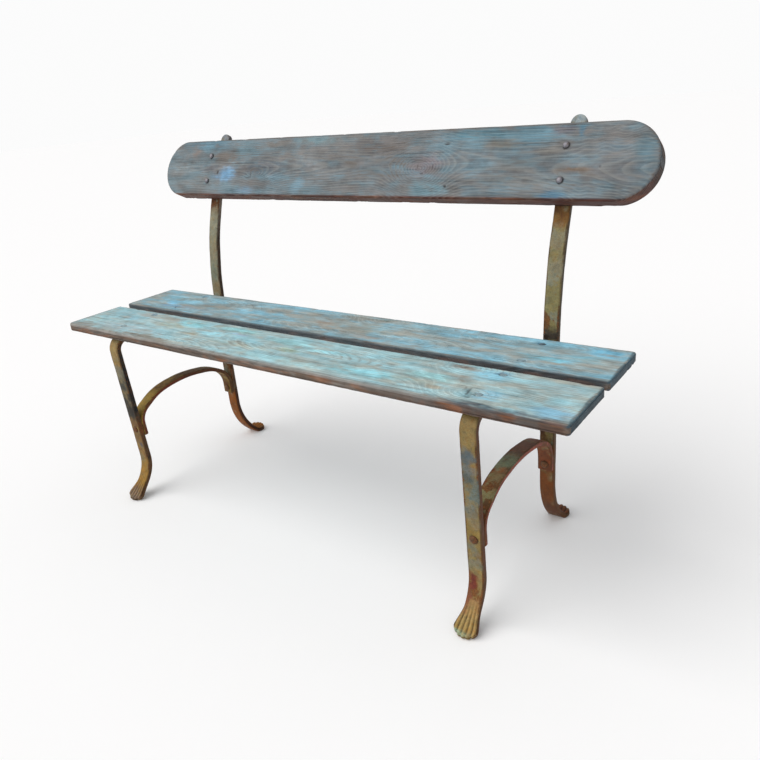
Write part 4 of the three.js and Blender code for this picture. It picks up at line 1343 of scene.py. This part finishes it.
def add_camera():
    yaw, pitch, roll = (math.radians(turn) for turn in CAMERA_TURNS)
    forward = np.array([-math.sin(yaw) * math.cos(pitch), math.cos(yaw) * math.cos(pitch), -math.sin(pitch)])
    level = np.array([math.cos(yaw), math.sin(yaw), 0])
    up = np.cross(level, forward)
    right = math.cos(roll) * level + math.sin(roll) * up
    top = math.cos(roll) * up - math.sin(roll) * level
    data = bpy.data.cameras.new("camera")
    data.sensor_width = 36.0
    data.lens = 32.483
    data.shift_x, data.shift_y = -0.0013, -0.0051
    camera = bpy.data.objects.new("camera", data)
    placed(camera, (right, top, -forward), CAMERA_SPOT)
    bpy.context.scene.camera = camera


def add_key():
    """A broad soft light from the front, left and above."""
    data = bpy.data.lights.new("key", "SUN")
    data.energy, data.angle, data.color = 2.1, math.radians(60), (1.0, 0.985, 0.96)
    third = np.array(LAMP_SPOT) / np.linalg.norm(LAMP_SPOT)
    first = np.cross([0, 1, 0], third)
    first /= np.linalg.norm(first)
    placed(bpy.data.objects.new("key", data), (first, np.cross(third, first), third), LAMP_SPOT)


def add_world():
    """A white surround that the camera sees brighter than it lights."""
    world = bpy.data.worlds.new("studio")
    bpy.context.scene.world = world
    world.use_nodes = True
    nodes, links = world.node_tree.nodes, world.node_tree.links
    background = nodes["Background"]
    seen = nodes.new("ShaderNodeLightPath").outputs["Is Camera Ray"]
    strength = nodes.new("ShaderNodeMapRange")
    links.new(seen, strength.inputs["Value"])
    strength.inputs["To Min"].default_value = 0.57
    strength.inputs["To Max"].default_value = 0.97
    links.new(strength.outputs["Result"], background.inputs["Strength"])
    background.inputs["Color"].default_value = (1, 1, 1, 1)


def add_floor():
    corners = [(x * FLOOR_HALF, y * FLOOR_HALF, 0) for x, y in ((-1, -1), (1, -1), (1, 1), (-1, 1))]
    mesh = bpy.data.meshes.new("floor")
    mesh.from_pydata(corners, [], [(0, 1, 2, 3)])
    floor = bpy.data.objects.new("floor", mesh)
    bpy.context.scene.collection.objects.link(floor)
    n = Nodes("floor_paper")
    grain = n.noise(n.place(), 900.0, 2.0, 0.5)
    paper = n.mix(grain, (0.94, 0.94, 0.95), (0.97, 0.97, 0.98))
    n.fill(n.shader, Base_Color=paper, Roughness=0.95)
    mesh.materials.append(n.material)


add_camera()
add_boards()
add_bars()
add_fasteners()
add_world()
add_key()
add_floor()
bpy.context.scene.view_settings.view_transform = "Standard"
